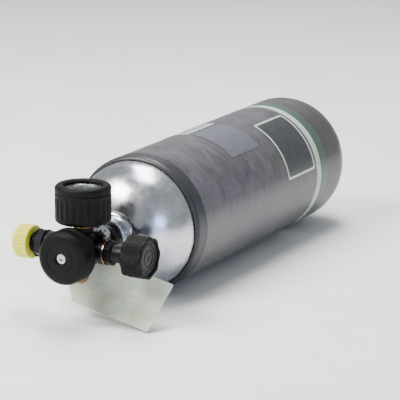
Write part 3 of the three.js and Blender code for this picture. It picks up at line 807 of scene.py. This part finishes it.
inlet = [(0, INLET_END), (8.5, INLET_END), (9.5, INLET_END + 1), (9.5, NECK_FACE + 0.3),
         (17, NECK_FACE + 0.3), (17, -41.5), (13, -39), (0, -39)]
outlet_face = [(0, 36), (14.9, 36), (14.9, ARM_OUTLET), (0, ARM_OUTLET)]
wheel_bore = [(0, 0), (2, 0), (2, 2.6), (7.3, 2.6), (7.3, 17.5), (11.3, 17.5), (11.3, 31), (0, 31)]
machined = [
    spun("inlet", TO_FRONT, softened(inlet, 0.6)),
    spun("outlet_face", TO_OUTLET, softened(outlet_face, 0.7)),
    spun("wheel_face", TO_WHEEL, softened([(0, 22), (13.9, 22), (13.9, ARM_WHEEL), (0, ARM_WHEEL)], 0.7)),
    spun("gauge_face", TO_GAUGE, softened([(0, 17), (11, 17), (11, ARM_GAUGE), (0, ARM_GAUGE)], 0.6)),
    spun("front_boss", TO_FRONT, softened([(0, 15), (13.9, 15), (13.9, 32), (0, 32)], 0.6)),
]
bores = [
    spun("main_bore", TO_FRONT, [(0, -79), (4.8, -79), (4.8, -69.5), (3.2, -69.5), (3.2, 2), (0, 2)]),
    spun("screw_bore", TO_FRONT, [(0, 18), (SCREW_BORE, 18), (SCREW_BORE, 33), (0, 33)], segments=32),
    spun("wheel_bore", TO_WHEEL, wheel_bore),
    spun("outlet_bore", TO_OUTLET, [(0, 30.5), (8.3, 30.5), (8.3, 46), (0, 46)]),
    spun("gauge_bore", TO_GAUGE, [(0, 0), (1.4, 0), (1.4, 12), (5, 12), (5, 26), (0, 26)], segments=48),
    spun("burst_bore", TO_BURST, [(0, 0), (1.5, 0), (1.5, 12), (4.3, 12), (4.3, 24), (0, 24)], segments=48),
]
forging = combined(forging, machined, "UNION")
forging = combined(forging, bores, "DIFFERENCE")
settle(forging, ANODISED, "valve_body")

# %% [markdown]
# ## Handwheel
# The wheel is an anodised core with a rubber tyre. The tyre has eight shallow lobes so that a
# gloved hand can turn it, and fine ribs along its width for grip. Both are rules on the radius:
# a slow wave for the lobes, and a quick one for the ribs that fades out at the rounded edges.

# %% Handwheel
wheel_low, wheel_high = box_mm("handwheel_grip")
WHEEL_START = wheel_low.x
WHEEL_END = wheel_high.x
WHEEL_R = (wheel_high.z - wheel_low.z) / 2 - 0.2
CORE_R = 19
ROOT_R = CORE_R + 1.5  # the tyre is plain and round up to here
LOBES = 8
LOBE_DEEP = 1.9
RIBS = 64
RIB_DEEP = 0.55
RIB_INSET = 3.5  # from the tyre's ends to the ribs
RIB_FADE = 1.5


def lobed(radius, station, angle):
    """Eight lobes, with fine ribs between the two rounded edges."""
    if radius < ROOT_R:
        return radius
    depth = min(1, (radius - ROOT_R) / 2)
    radius -= LOBE_DEEP * depth * (1 - wave(LOBES * angle))
    inset = min(station - WHEEL_START, WHEEL_END - station)
    if inset < RIB_INSET:
        return radius
    return radius - RIB_DEEP * min(1, (inset - RIB_INSET) / RIB_FADE) * wave(RIBS * angle) ** 2


grip = [(CORE_R + 0.3, WHEEL_START + 0.1), (WHEEL_R, WHEEL_START + 0.1), (WHEEL_R, WHEEL_END - 0.1),
        (CORE_R + 0.3, WHEEL_END - 0.1)]
tyre = spun("wheel_tyre", TO_WHEEL, filled(softened(grip, 2.6, 6), 1.2), lobed, segments=384)
settle(tyre, RUBBER, "handwheel_grip")

CORE_END = box_mm("handwheel")[1].x
WEB_END = 68
core = [(5.3, WHEEL_START + 1.1), (9.8, WHEEL_START + 1.1), (10.8, WHEEL_START + 5),
        (CORE_R, WHEEL_START + 6), (CORE_R, CORE_END), (17.6, CORE_END), (17.2, CORE_END - 0.7),
        (16.2, CORE_END - 0.7), (15.8, CORE_END), (14, CORE_END), (14, WEB_END), (5.3, WEB_END)]
settle(spun("wheel_core", TO_WHEEL, softened(core, 0.45), segments=128), ANODISED, "handwheel")

cap_low, cap_high = box_mm("wheel_cap")
button = [(0, cap_low.x), (13.6, cap_low.x), (13.6, cap_high.x - 0.1), (10.6, cap_high.x - 0.1),
          (10, cap_low.x + 1.5), (8.2, cap_low.x + 1.5), (7.8, cap_low.x + 1.9), (3, cap_low.x + 1.9),
          (2.4, cap_low.x + 1.4), (0, cap_low.x + 1.4)]
settle(spun("wheel_button", TO_WHEEL, softened(button, 0.3), segments=96), ANODISED, "wheel_cap")

# %% Bonnet and spindle nut
bonnet_outline = [(8.3, 18), (11, 18), (11, 31.1), (14.2, 31.1), (14.2, 38.5), (12, 38.5), (12, 39),
                  (10, 40), (10, 55), (9, 56), (5.4, 56), (5.4, 27), (8.3, 27)]
bonnet = spun("bonnet_nut", TO_WHEEL, filled(softened(bonnet_outline, 0.8), 0.8), hexagon(25, 31.2, 38.5))
settle(bonnet, BLACK_STEEL, "bonnet")
nut_low, nut_high = box_mm("wheel_nut")
nut = [(3.5, nut_low.x), (7.3, nut_low.x), (7.3, nut_high.x), (3.5, nut_high.x)]
spindle_nut = spun("spindle_nut", TO_WHEEL, filled(softened(nut, 0.5), 0.5), hexagon(12.9), segments=72)
settle(spindle_nut, STEEL, "wheel_nut")

# %% [markdown]
# ## Outlet and its dust cap
# The hose screws on a black adapter: a hexagon for the spanner, then a round thread. The thread
# is a real one, cut by a rule that follows a helix of 14 turns to the inch. The yellow cap
# pushes over it. It has a soft rounded end, ribs for the fingers and a raised ring.

# %% Outlet adapter
OUTLET_END = 76
THREAD_PITCH = 25.4 / 14
adapter = [(2.5, 31), (8, 31), (8, 45.8), (16, 45.8), (16, 57), (10.5, 57), (10.5, 75),
           (9.5, OUTLET_END), (6, OUTLET_END), (6, 64), (2.5, 62)]
cut = both(hexagon(28, 46.2, 56.6), thread(THREAD_PITCH, 1.1, 58.6, 75.2, 10.5))
screwed = spun("outlet_adapter_screwed", TO_OUTLET, filled(softened(adapter, 0.7), 0.26), cut, segments=72)
settle(screwed, ANODISED, "outlet_adapter")

# %% Dust cap
cover_low, cover_high = box_mm("dust_cap")
CAP_R = (cover_high.z - cover_low.z) / 2 - 0.1
CAP_OPEN = -cover_high.x
CAP_SHUT = -cover_low.x - 0.1
CAP_RIBS = 30
CAP_RIB_DEEP = 0.9
CAP_RIBS_FROM = CAP_OPEN + 4
CAP_RIBS_TO = CAP_SHUT - 3.5


def finger_ribs(radius, station, angle):
    """Round ribs on the cap's side, fading out before each end."""
    if radius < CAP_R - 2 or not CAP_RIBS_FROM < station < CAP_RIBS_TO:
        return radius
    fade = min(1, (station - CAP_RIBS_FROM) / 2, (CAP_RIBS_TO - station) / 2)
    return radius - CAP_RIB_DEEP * fade * wave(CAP_RIBS * angle) ** 2


cap = [(10.9, CAP_OPEN + 0.1), (CAP_R - 1.2, CAP_OPEN + 0.1), (CAP_R, CAP_OPEN + 1), (CAP_R, CAP_SHUT - 3),
       (CAP_R - 3.4, CAP_SHUT), (14, CAP_SHUT), (13.4, CAP_SHUT - 0.8), (9, CAP_SHUT - 0.8), (8.4, CAP_SHUT),
       (5.2, CAP_SHUT), (4.6, CAP_SHUT - 0.8), (0, CAP_SHUT - 0.8), (0, CAP_SHUT - 3), (10.9, CAP_SHUT - 3)]
cover = spun("yellow_dust_cap", TO_OUTLET, filled(softened(cap, 1.0, 5), 0.9), finger_ribs, segments=240)
settle(cover, POLYTHENE, "dust_cap")

# %% [markdown]
# ## Pressure gauge
# The gauge faces up, deep in a thick rubber guard that takes the knocks. The guard is a cup
# with a lip over the window and ribs down its side. In it sit the steel case, the enamelled
# dial, the pointer, the window and the ring that holds it. The dial's ticks and numbers are thin
# solids, as ink is a thin layer, and a loop sets them round the scale.

# %% Guard and case
guard_low, guard_high = box_mm("gauge_guard")
GUARD_R = (guard_high.x - guard_low.x) / 2 - 0.15
GUARD_BOTTOM = guard_low.z - AXIS_Z
GUARD_TOP = guard_high.z - AXIS_Z - 0.1
case_low, case_high = box_mm("gauge_case")
CASE_R = (case_high.x - case_low.x) / 2
CASE_BOTTOM = case_low.z - AXIS_Z
CASE_TOP = case_high.z - AXIS_Z
GUARD_RIBS = 24
GUARD_RIB_DEEP = 1.3
GUARD_RIBS_FROM = GUARD_BOTTOM + 6
GUARD_RIBS_TO = GUARD_TOP - 12
LIP_R = 21


def guard_ribs(radius, station, angle):
    """Upright ribs on the guard's side, which stop short of a plain band at the top and bottom."""
    if radius < GUARD_R - 1:
        return radius
    fade = min(1, max(0, (station - GUARD_RIBS_FROM) / 2), max(0, (GUARD_RIBS_TO - station) / 2))
    return radius - GUARD_RIB_DEEP * fade * wave(GUARD_RIBS * angle) ** 1.5


guard = [(9.5, GUARD_BOTTOM + 0.1), (GUARD_R - 2.5, GUARD_BOTTOM + 0.1), (GUARD_R, GUARD_BOTTOM + 3),
         (GUARD_R, GUARD_TOP - 9.4), (GUARD_R - 0.8, GUARD_TOP - 9), (GUARD_R - 0.8, GUARD_TOP - 8),
         (GUARD_R, GUARD_TOP - 7.6), (GUARD_R, GUARD_TOP - 2.6), (GUARD_R - 2.6, GUARD_TOP),
         (LIP_R + 2, GUARD_TOP), (LIP_R, GUARD_TOP - 2), (LIP_R, CASE_TOP + 0.4),
         (CASE_R + 0.35, CASE_TOP + 0.4), (CASE_R + 0.35, CASE_BOTTOM - 0.4), (9.5, CASE_BOTTOM - 0.4)]
boot = spun("gauge_guard_boot", TO_GAUGE, filled(softened(guard, 1.3, 4), 1.3), guard_ribs, segments=240)
settle(boot, RUBBER, "gauge_guard")

BEZEL_R = CASE_R - 1.5
case = [(5, CASE_BOTTOM), (CASE_R, CASE_BOTTOM), (CASE_R, CASE_TOP), (BEZEL_R, CASE_TOP),
        (BEZEL_R, CASE_BOTTOM + 2), (5, CASE_BOTTOM + 2)]
settle(spun("gauge_cup", TO_GAUGE, softened(case, 0.5), segments=128), STEEL, "gauge_case")
socket = [(1.2, 12.5), (4.6, 12.5), (4.6, 24.3), (9.2, 24.3), (9.2, 31), (4.6, 31), (4.6, 38), (1.2, 38)]
socket_nut = spun("gauge_socket_nut", TO_GAUGE, filled(softened(socket, 0.5), 0.7), hexagon(15, 24.4, 30.9))
settle(socket_nut, BRASS, "gauge_socket")

# %% Dial, pointer and window
dial_low, dial_high = box_mm("gauge_dial")
DIAL_Z = dial_high.z - AXIS_Z - 0.1
DIAL_R = (dial_high.x - dial_low.x) / 2 - 0.1
dial = [(2.2, DIAL_Z - 1), (DIAL_R, DIAL_Z - 1), (DIAL_R, DIAL_Z), (2.2, DIAL_Z)]
settle(spun("dial_disc", TO_GAUGE, softened(dial, 0.2), segments=128), DIAL_PAINT, "gauge_dial")

INK = 0.06
INK_R = 20  # where the ticks end
TICK_LONG, TICK_SHORT = 3.4, 1.8
DIVISIONS = 45
FULL_AT = 90  # degrees anticlockwise from +X, seen from above: where the pointer rests
SWEEP = 240
MAJOR_EVERY = 5
NUMBER_EVERY = 10
ZONE_FROM, ZONE_TO = 36, 44
ZONE_PARTS = 4


def dial_angle(share):
    """The angle of a share of the scale. The whole of it is where the pointer rests."""
    return math.radians(FULL_AT + SWEEP * (1 - share))


def ink_bar(work, angle, near, far, width):
    """One printed tick: a thin bar on the dial from one radius to another."""
    out = Vector((math.cos(angle), math.sin(angle), 0))
    side = Vector((-out.y, out.x, 0)) * width / 2
    foot = Vector((0, 0, DIAL_Z + 0.02))
    corners = []
    for height in (0, INK):
        rise = foot + Vector((0, 0, height))
        corners.append([work.verts.new(rise + out * r + side * s) for r, s in
                        ((near, -1), (far, -1), (far, 1), (near, 1))])
    low, high = corners
    work.faces.new(low[::-1])
    work.faces.new(high)
    walls(work, low, high)


ticks = bmesh.new()
for step in range(DIVISIONS + 1):
    major = step % MAJOR_EVERY == 0
    reach = TICK_LONG if major else TICK_SHORT
    ink_bar(ticks, dial_angle(step / DIVISIONS), INK_R - reach, INK_R, 0.7 if major else 0.35)
settle(from_bmesh("dial_ticks", ticks, TO_GAUGE), DIAL_INK, "gauge_dial", stands_for=False)

zone = bmesh.new()
for part in range(ZONE_FROM * ZONE_PARTS, ZONE_TO * ZONE_PARTS):
    part_angle = dial_angle((part + 0.5) / ZONE_PARTS / DIVISIONS)
    part_width = INK_R * math.radians(SWEEP / DIVISIONS / ZONE_PARTS)
    ink_bar(zone, part_angle, INK_R + 0.3, INK_R + 1.6, part_width)
settle(from_bmesh("dial_zone", zone, TO_GAUGE), ZONE_INK, "gauge_dial", stands_for=False)


def printed_number(text, angle, radius, size):
    """A number on the dial, upright, as a thin solid."""
    name = "dial_number_" + text
    curve = bpy.data.curves.new(name, "FONT")
    curve.body = text
    curve.size = size
    curve.extrude = INK / 2
    curve.align_x = "CENTER"
    curve.align_y = "CENTER"
    mesh = from_curve(name, curve)
    spot = Vector((radius * math.cos(angle), radius * math.sin(angle), DIAL_Z + 0.02 + INK / 2))
    upright = Matrix.Rotation(-math.pi / 2, 4, "Z")
    mesh.transform(TO_GAUGE @ Matrix.Translation(spot) @ upright)
    return settle(as_object(name, mesh), DIAL_INK, "gauge_dial", stands_for=False)


for number in range(DIVISIONS // NUMBER_EVERY + 1):
    printed_number(str(number), dial_angle(number * NUMBER_EVERY / DIVISIONS), 13.2, 4.2)

NEEDLE_Z = 60
NEEDLE_LONG = 16.8
NEEDLE_TAIL = 6.8
needle = bmesh.new()
half = [(0.25, NEEDLE_LONG), (0.9, 3), (2.4, 1.4), (2.4, -1.4), (1.0, -3), (1.5, -NEEDLE_TAIL)]
edge = half + [(-x, y) for x, y in reversed(half)]
faces = [[needle.verts.new((x, y, z)) for x, y in edge] for z in (NEEDLE_Z + 0.1, NEEDLE_Z + 0.7)]
needle.faces.new(faces[0][::-1])
needle.faces.new(faces[1])
walls(needle, *faces)
bmesh.ops.bevel(needle, geom=needle.edges[:], offset=0.12, segments=2, affect="EDGES")
POINTER_SEAT = Matrix.Translation(VALVE * MM) @ Matrix.Scale(MM, 4)
blade = from_bmesh("pointer_blade", needle, POINTER_SEAT)
boss = [(0, NEEDLE_Z - 0.2), (2.4, NEEDLE_Z - 0.2), (2.4, NEEDLE_Z + 1.1), (1.4, NEEDLE_Z + 1.5),
        (0, NEEDLE_Z + 1.5)]
hub = spun("pointer_hub", POINTER_SEAT, softened(boss, 0.3), segments=48)
settle(combined(blade, [hub], "UNION"), LACQUER, "gauge_pointer")

LENS_Z = box_mm("gauge_lens")[0].z - AXIS_Z
lens = [(0, LENS_Z + 0.1), (BEZEL_R - 0.4, LENS_Z + 0.1), (BEZEL_R - 0.4, LENS_Z + 1.9), (18, LENS_Z + 2.3),
        (0, LENS_Z + 2.35)]
settle(spun("gauge_window", TO_GAUGE, softened(lens, 0.3), segments=128), POLYCARBONATE, "gauge_lens")
ring = [(20.5, LENS_Z + 2.7), (BEZEL_R - 0.35, LENS_Z + 2.7), (BEZEL_R - 0.35, CASE_TOP - 0.25),
        (21.2, CASE_TOP - 0.25), (20.5, CASE_TOP - 0.8)]
settle(spun("window_ring", TO_GAUGE, softened(ring, 0.15), segments=128), STEEL, "lens_ring")

# %% [markdown]
# ## Safety disc plug
# A small hexagon-headed plug holds a thin disc that bursts before the cylinder could. It is
# bright, and its vent hole is open. The hexagon's corners are rounded off by the same chamfer
# that the spun outline has, which is how a bar of hexagon stock looks after turning.

# %% Burst plug
plug = [(1.5, 14), (4, 14), (4, 22), (7.3, 22), (7.3, 28.3), (1.5, 28.3)]
plug = filled(softened(plug, 0.9, 4), 0.4)
disc_plug = spun("burst_disc_plug", TO_BURST, plug, hexagon(12.9, 22.05, 28.3))
settle(disc_plug, STEEL, "burst_plug")

# %% [markdown]
# ## Front bumper and screw
# The bumper is what meets the floor if the cylinder is dropped on its valve, so it is a thick
# rubber button with a well-rounded face. Two shallow grooves let it flex. A socket screw sits
# deep in its counterbore.

# %% Bumper
bumper_low, bumper_high = box_mm("front_bumper")
BUMPER_R = (bumper_high.x - bumper_low.x) / 2 - 0.1
BUMPER_BACK = VALVE.y - bumper_high.y
FRONT = VALVE.y - bumper_low.y - 0.1
GROOVES = (0.36, 0.56)
side = FRONT - 8 - BUMPER_BACK
bumper = [(14.4, BUMPER_BACK), (BUMPER_R - 2, BUMPER_BACK), (BUMPER_R, BUMPER_BACK + 2)]
for share in GROOVES:
    at = BUMPER_BACK + side * share
    bumper += [(BUMPER_R, at - 1), (BUMPER_R - 1, at - 0.5), (BUMPER_R - 1, at + 0.5), (BUMPER_R, at + 1)]
bumper += arc(BUMPER_R - 8, FRONT - 8, 8, 8, 0, 90, 12)
bumper += [(17, FRONT), (16.4, FRONT - 0.7), (14.6, FRONT - 0.7), (14, FRONT), (7.2, FRONT),
           (6.1, FRONT - 1.1), (6.1, 43.5), (SCREW_BORE, 43.5), (SCREW_BORE, 32.4), (14.4, 32.4)]
settle(spun("bumper_button", TO_FRONT, softened(bumper, 0.45), segments=160), RUBBER, "front_bumper")

HEAD_FRONT = 47.4
screw = [(0, 24), (2.5, 24), (2.5, 43.8), (5.5, 43.8), (5.5, HEAD_FRONT), (0, HEAD_FRONT)]
key = spun("key_socket", TO_FRONT, [(0, 44.6), (2.6, 45.2), (2.6, 49), (0, 49)], hexagon(4.5), segments=48)
head = spun("socket_screw", TO_FRONT, softened(screw, 0.4), segments=64)
settle(combined(head, [key], "DIFFERENCE"), STEEL, "bumper_screw")

# %% [markdown]
# ## Card tag and its wire
# An inspection tag hangs from the valve's collar and leans on what the cylinder lies on. It is
# stiff card with clipped corners at its eyelet, where a pressed fibre patch keeps the wire from
# tearing it. Card is never flat for long, so after cutting it gets a slight curl and twist. The
# flat shape is filled round its hole and cut into strips first, so that it has corners to bend at.

# %% Tag
TAG_LONG = 119.6
TAG_WIDE = 59.6
TAG_THICK = 0.7
TAG_CLIP = 14
EYELET_IN = 10
EYELET_R = 3.2
CURL = 2.4
TWIST = 0.8
FLAT_UNTIL = 8  # the eyelet's patch keeps the card flat this far
STRIP = 5
EYELET = Vector((-14, VALVE.y + 20, 41))
TAG_LEAN = math.radians(50)
TAG_TURN = math.radians(-12)
TAG_PLACE = (Matrix.Translation(EYELET * MM) @ Matrix.Rotation(TAG_LEAN, 4, "X")
             @ Matrix.Rotation(TAG_TURN, 4, "Z"))


def bent(x, y):
    """How far the card stands off its flat shape, rising towards its far end and one corner."""
    far = max(0, x - FLAT_UNTIL) / TAG_LONG
    return CURL * far ** 2 + TWIST * far * y / TAG_WIDE


left, right, half = -EYELET_IN + 0.2, TAG_LONG - EYELET_IN, TAG_WIDE / 2
clipped = [(left, TAG_CLIP - half), (left + TAG_CLIP, -half), (right, -half), (right, half),
           (left + TAG_CLIP, half), (left, half - TAG_CLIP)]
shift = 50  # the corner rounder expects outlines on the positive side
rounded = [(x - shift, y) for x, y in softened([(x + shift, y) for x, y in clipped], 2.2, 4)]
eyelet = arc(0, 0, EYELET_R, EYELET_R, 0, 350, 35)
card = bmesh.new()
for outline in (rounded, eyelet):
    corners = [card.verts.new((x, y, -TAG_THICK / 2)) for x, y in outline]
    for here, ahead in zip(corners, corners[1:] + corners[:1]):
        card.edges.new((here, ahead))
bmesh.ops.triangle_fill(card, use_beauty=True, edges=card.edges[:])
for step in range(1, int(TAG_LONG / STRIP)):
    bmesh.ops.bisect_plane(card, geom=card.verts[:] + card.edges[:] + card.faces[:],
                           plane_co=(left + step * STRIP, 0, 0), plane_no=(1, 0, 0))
lifted = bmesh.ops.extrude_face_region(card, geom=card.faces[:])
for corner in (item for item in lifted["geom"] if isinstance(item, bmesh.types.BMVert)):
    corner.co.z += TAG_THICK
for corner in card.verts:
    corner.co.z += bent(corner.co.x, corner.co.y)
tag = from_bmesh("inspection_tag", card, Matrix.Scale(MM, 4), smooth_to=25)
tag.matrix_world = TAG_PLACE
settle(tag, CARD, "tag")

PATCH_IN = EYELET_R + 0.1
PATCH_R = 7.9
patch_low = TAG_THICK / 2 + 0.12
patch_high = patch_low + 0.36
washer = [(PATCH_IN, patch_low), (PATCH_R, patch_low), (PATCH_R, patch_high), (PATCH_IN, patch_high)]
patch = spun("tag_patch_ring", Matrix.Scale(MM, 4), softened(washer, 0.12), segments=64)
patch.matrix_world = TAG_PLACE
settle(patch, FIBRE_PATCH, "tag_patch")

# %% Tag wire
WIRE_R = 0.55
COLLAR_LOOP = 15.6
LOOP_Y = VALVE.y + 29  # where the turn round the collar starts
LOOP_PITCH = 4
LOOP_STEPS = 28
strand_angle = TAG_LEAN + math.pi / 2 - math.radians(22)
strand = Vector((0, math.cos(strand_angle), math.sin(strand_angle))) * 2.2
hairpin = [(-17, 1.2), (-10, 1), (-4, 1), (0, 0.8), (1.3, 0), (0, -0.8), (-4, -1), (-10, -1), (-15, -0.9)]
run = [EYELET + Vector((x, 0, 0)) + strand * side for x, side in hairpin]
for i in range(LOOP_STEPS + 1):
    turn = math.radians(-135 - 330 * i / LOOP_STEPS)
    run.append(Vector((COLLAR_LOOP * math.cos(turn), LOOP_Y + LOOP_PITCH * i / LOOP_STEPS,
                       AXIS_Z + COLLAR_LOOP * math.sin(turn))))
settle(wire("formed_tag_wire", [point * MM for point in run], WIRE_R * MM), STEEL, "tag_wire")

# %% [markdown]
# ## Pieces that stay as they are
# The works inside the valve and the gauge are hidden, and their plain solids already have the
# right shape. They keep their meshes and get the materials of the real pieces.

# %% Hidden works
KEPT = {
    STEEL: ["upper_spindle", "burst_disc", "pointer_arbor", "wheel_spring"],
    BRASS: ["inlet_tube", "inlet_filter", "seat_plug", "bourdon_tube", "gauge_movement"],
    COPPER: ["bonnet_gasket", "burst_gasket"],
    NYLON: ["spindle_washer", "seat_insert"],
    SEAL: ["neck_o_ring", "adapter_o_ring"],
}
for material, nodes in KEPT.items():
    for node in nodes:
        kept = frame["nodes"][node]
        kept.data.materials.clear()
        kept.data.materials.append(material)
print("kept", sum(len(nodes) for nodes in KEPT.values()), "hidden pieces")

# %% [markdown]
# ## The studio
# The floor is a wide sheet of pale paper, matt with a trace of sheen. Three area lamps make the
# soft light. Bare aluminium looks like what surrounds it, so the world is a pale, cool grey at
# little more than half strength: the dome then shows bright lamps against a darker room.

# %% Floor, lamps and world
material, tree, shader, place = new_material("studio_paper", IOR=1.45)
paper = add_node(tree, "TexNoise", {"Vector": place, "Scale": per(120), "Detail": 3})
tone = add_node(tree, "ValToRGB", {"Fac": paper}, stops=[(0.3, "#f3f3f2"), (0.7, "#f8f8f7")])
rough = add_node(tree, "MapRange", {"Value": paper, "From Min": 0.3, "From Max": 0.7,
                                    "To Min": 0.6, "To Max": 0.7})
link(tree, shader, Base_Color=tone, Roughness=rough)

FLOOR_HALF = 6.0
sheet = bmesh.new()
bmesh.ops.create_grid(sheet, x_segments=4, y_segments=4, size=FLOOR_HALF)
floor = from_bmesh("studio_floor", sheet, Matrix.Identity(4))
floor.data.materials.append(material)


def lamp(name, spot, size, power, colour):
    """A soft area lamp at spot, in metres, aimed at the middle of the object."""
    light = bpy.data.lights.new(name, "AREA")
    light.shape = "RECTANGLE"
    light.size, light.size_y = size
    light.energy = power
    light.color = linear(colour)[:3]
    holder = bpy.data.objects.new(name, light)
    bpy.context.scene.collection.objects.link(holder)
    holder.location = spot
    holder.rotation_euler = (middle - Vector(spot)).to_track_quat("-Z", "Y").to_euler()


lamp("key_lamp", (-1.1, -1.5, 1.9), (1.3, 0.9), 100, "#fffaf2")
lamp("fill_lamp", (1.6, -1.6, 0.45), (0.6, 0.5), 9, "#a9c6f2")
lamp("top_lamp", (-0.2, 0.4, 2.0), (0.7, 1.8), 66, "#ffffff")
world = bpy.data.worlds.new("studio_room")
world.use_nodes = True
world.node_tree.nodes["Background"].inputs["Color"].default_value = linear("#e9ecf0")
world.node_tree.nodes["Background"].inputs["Strength"].default_value = 0.6
bpy.context.scene.world = world
print("studio ready")
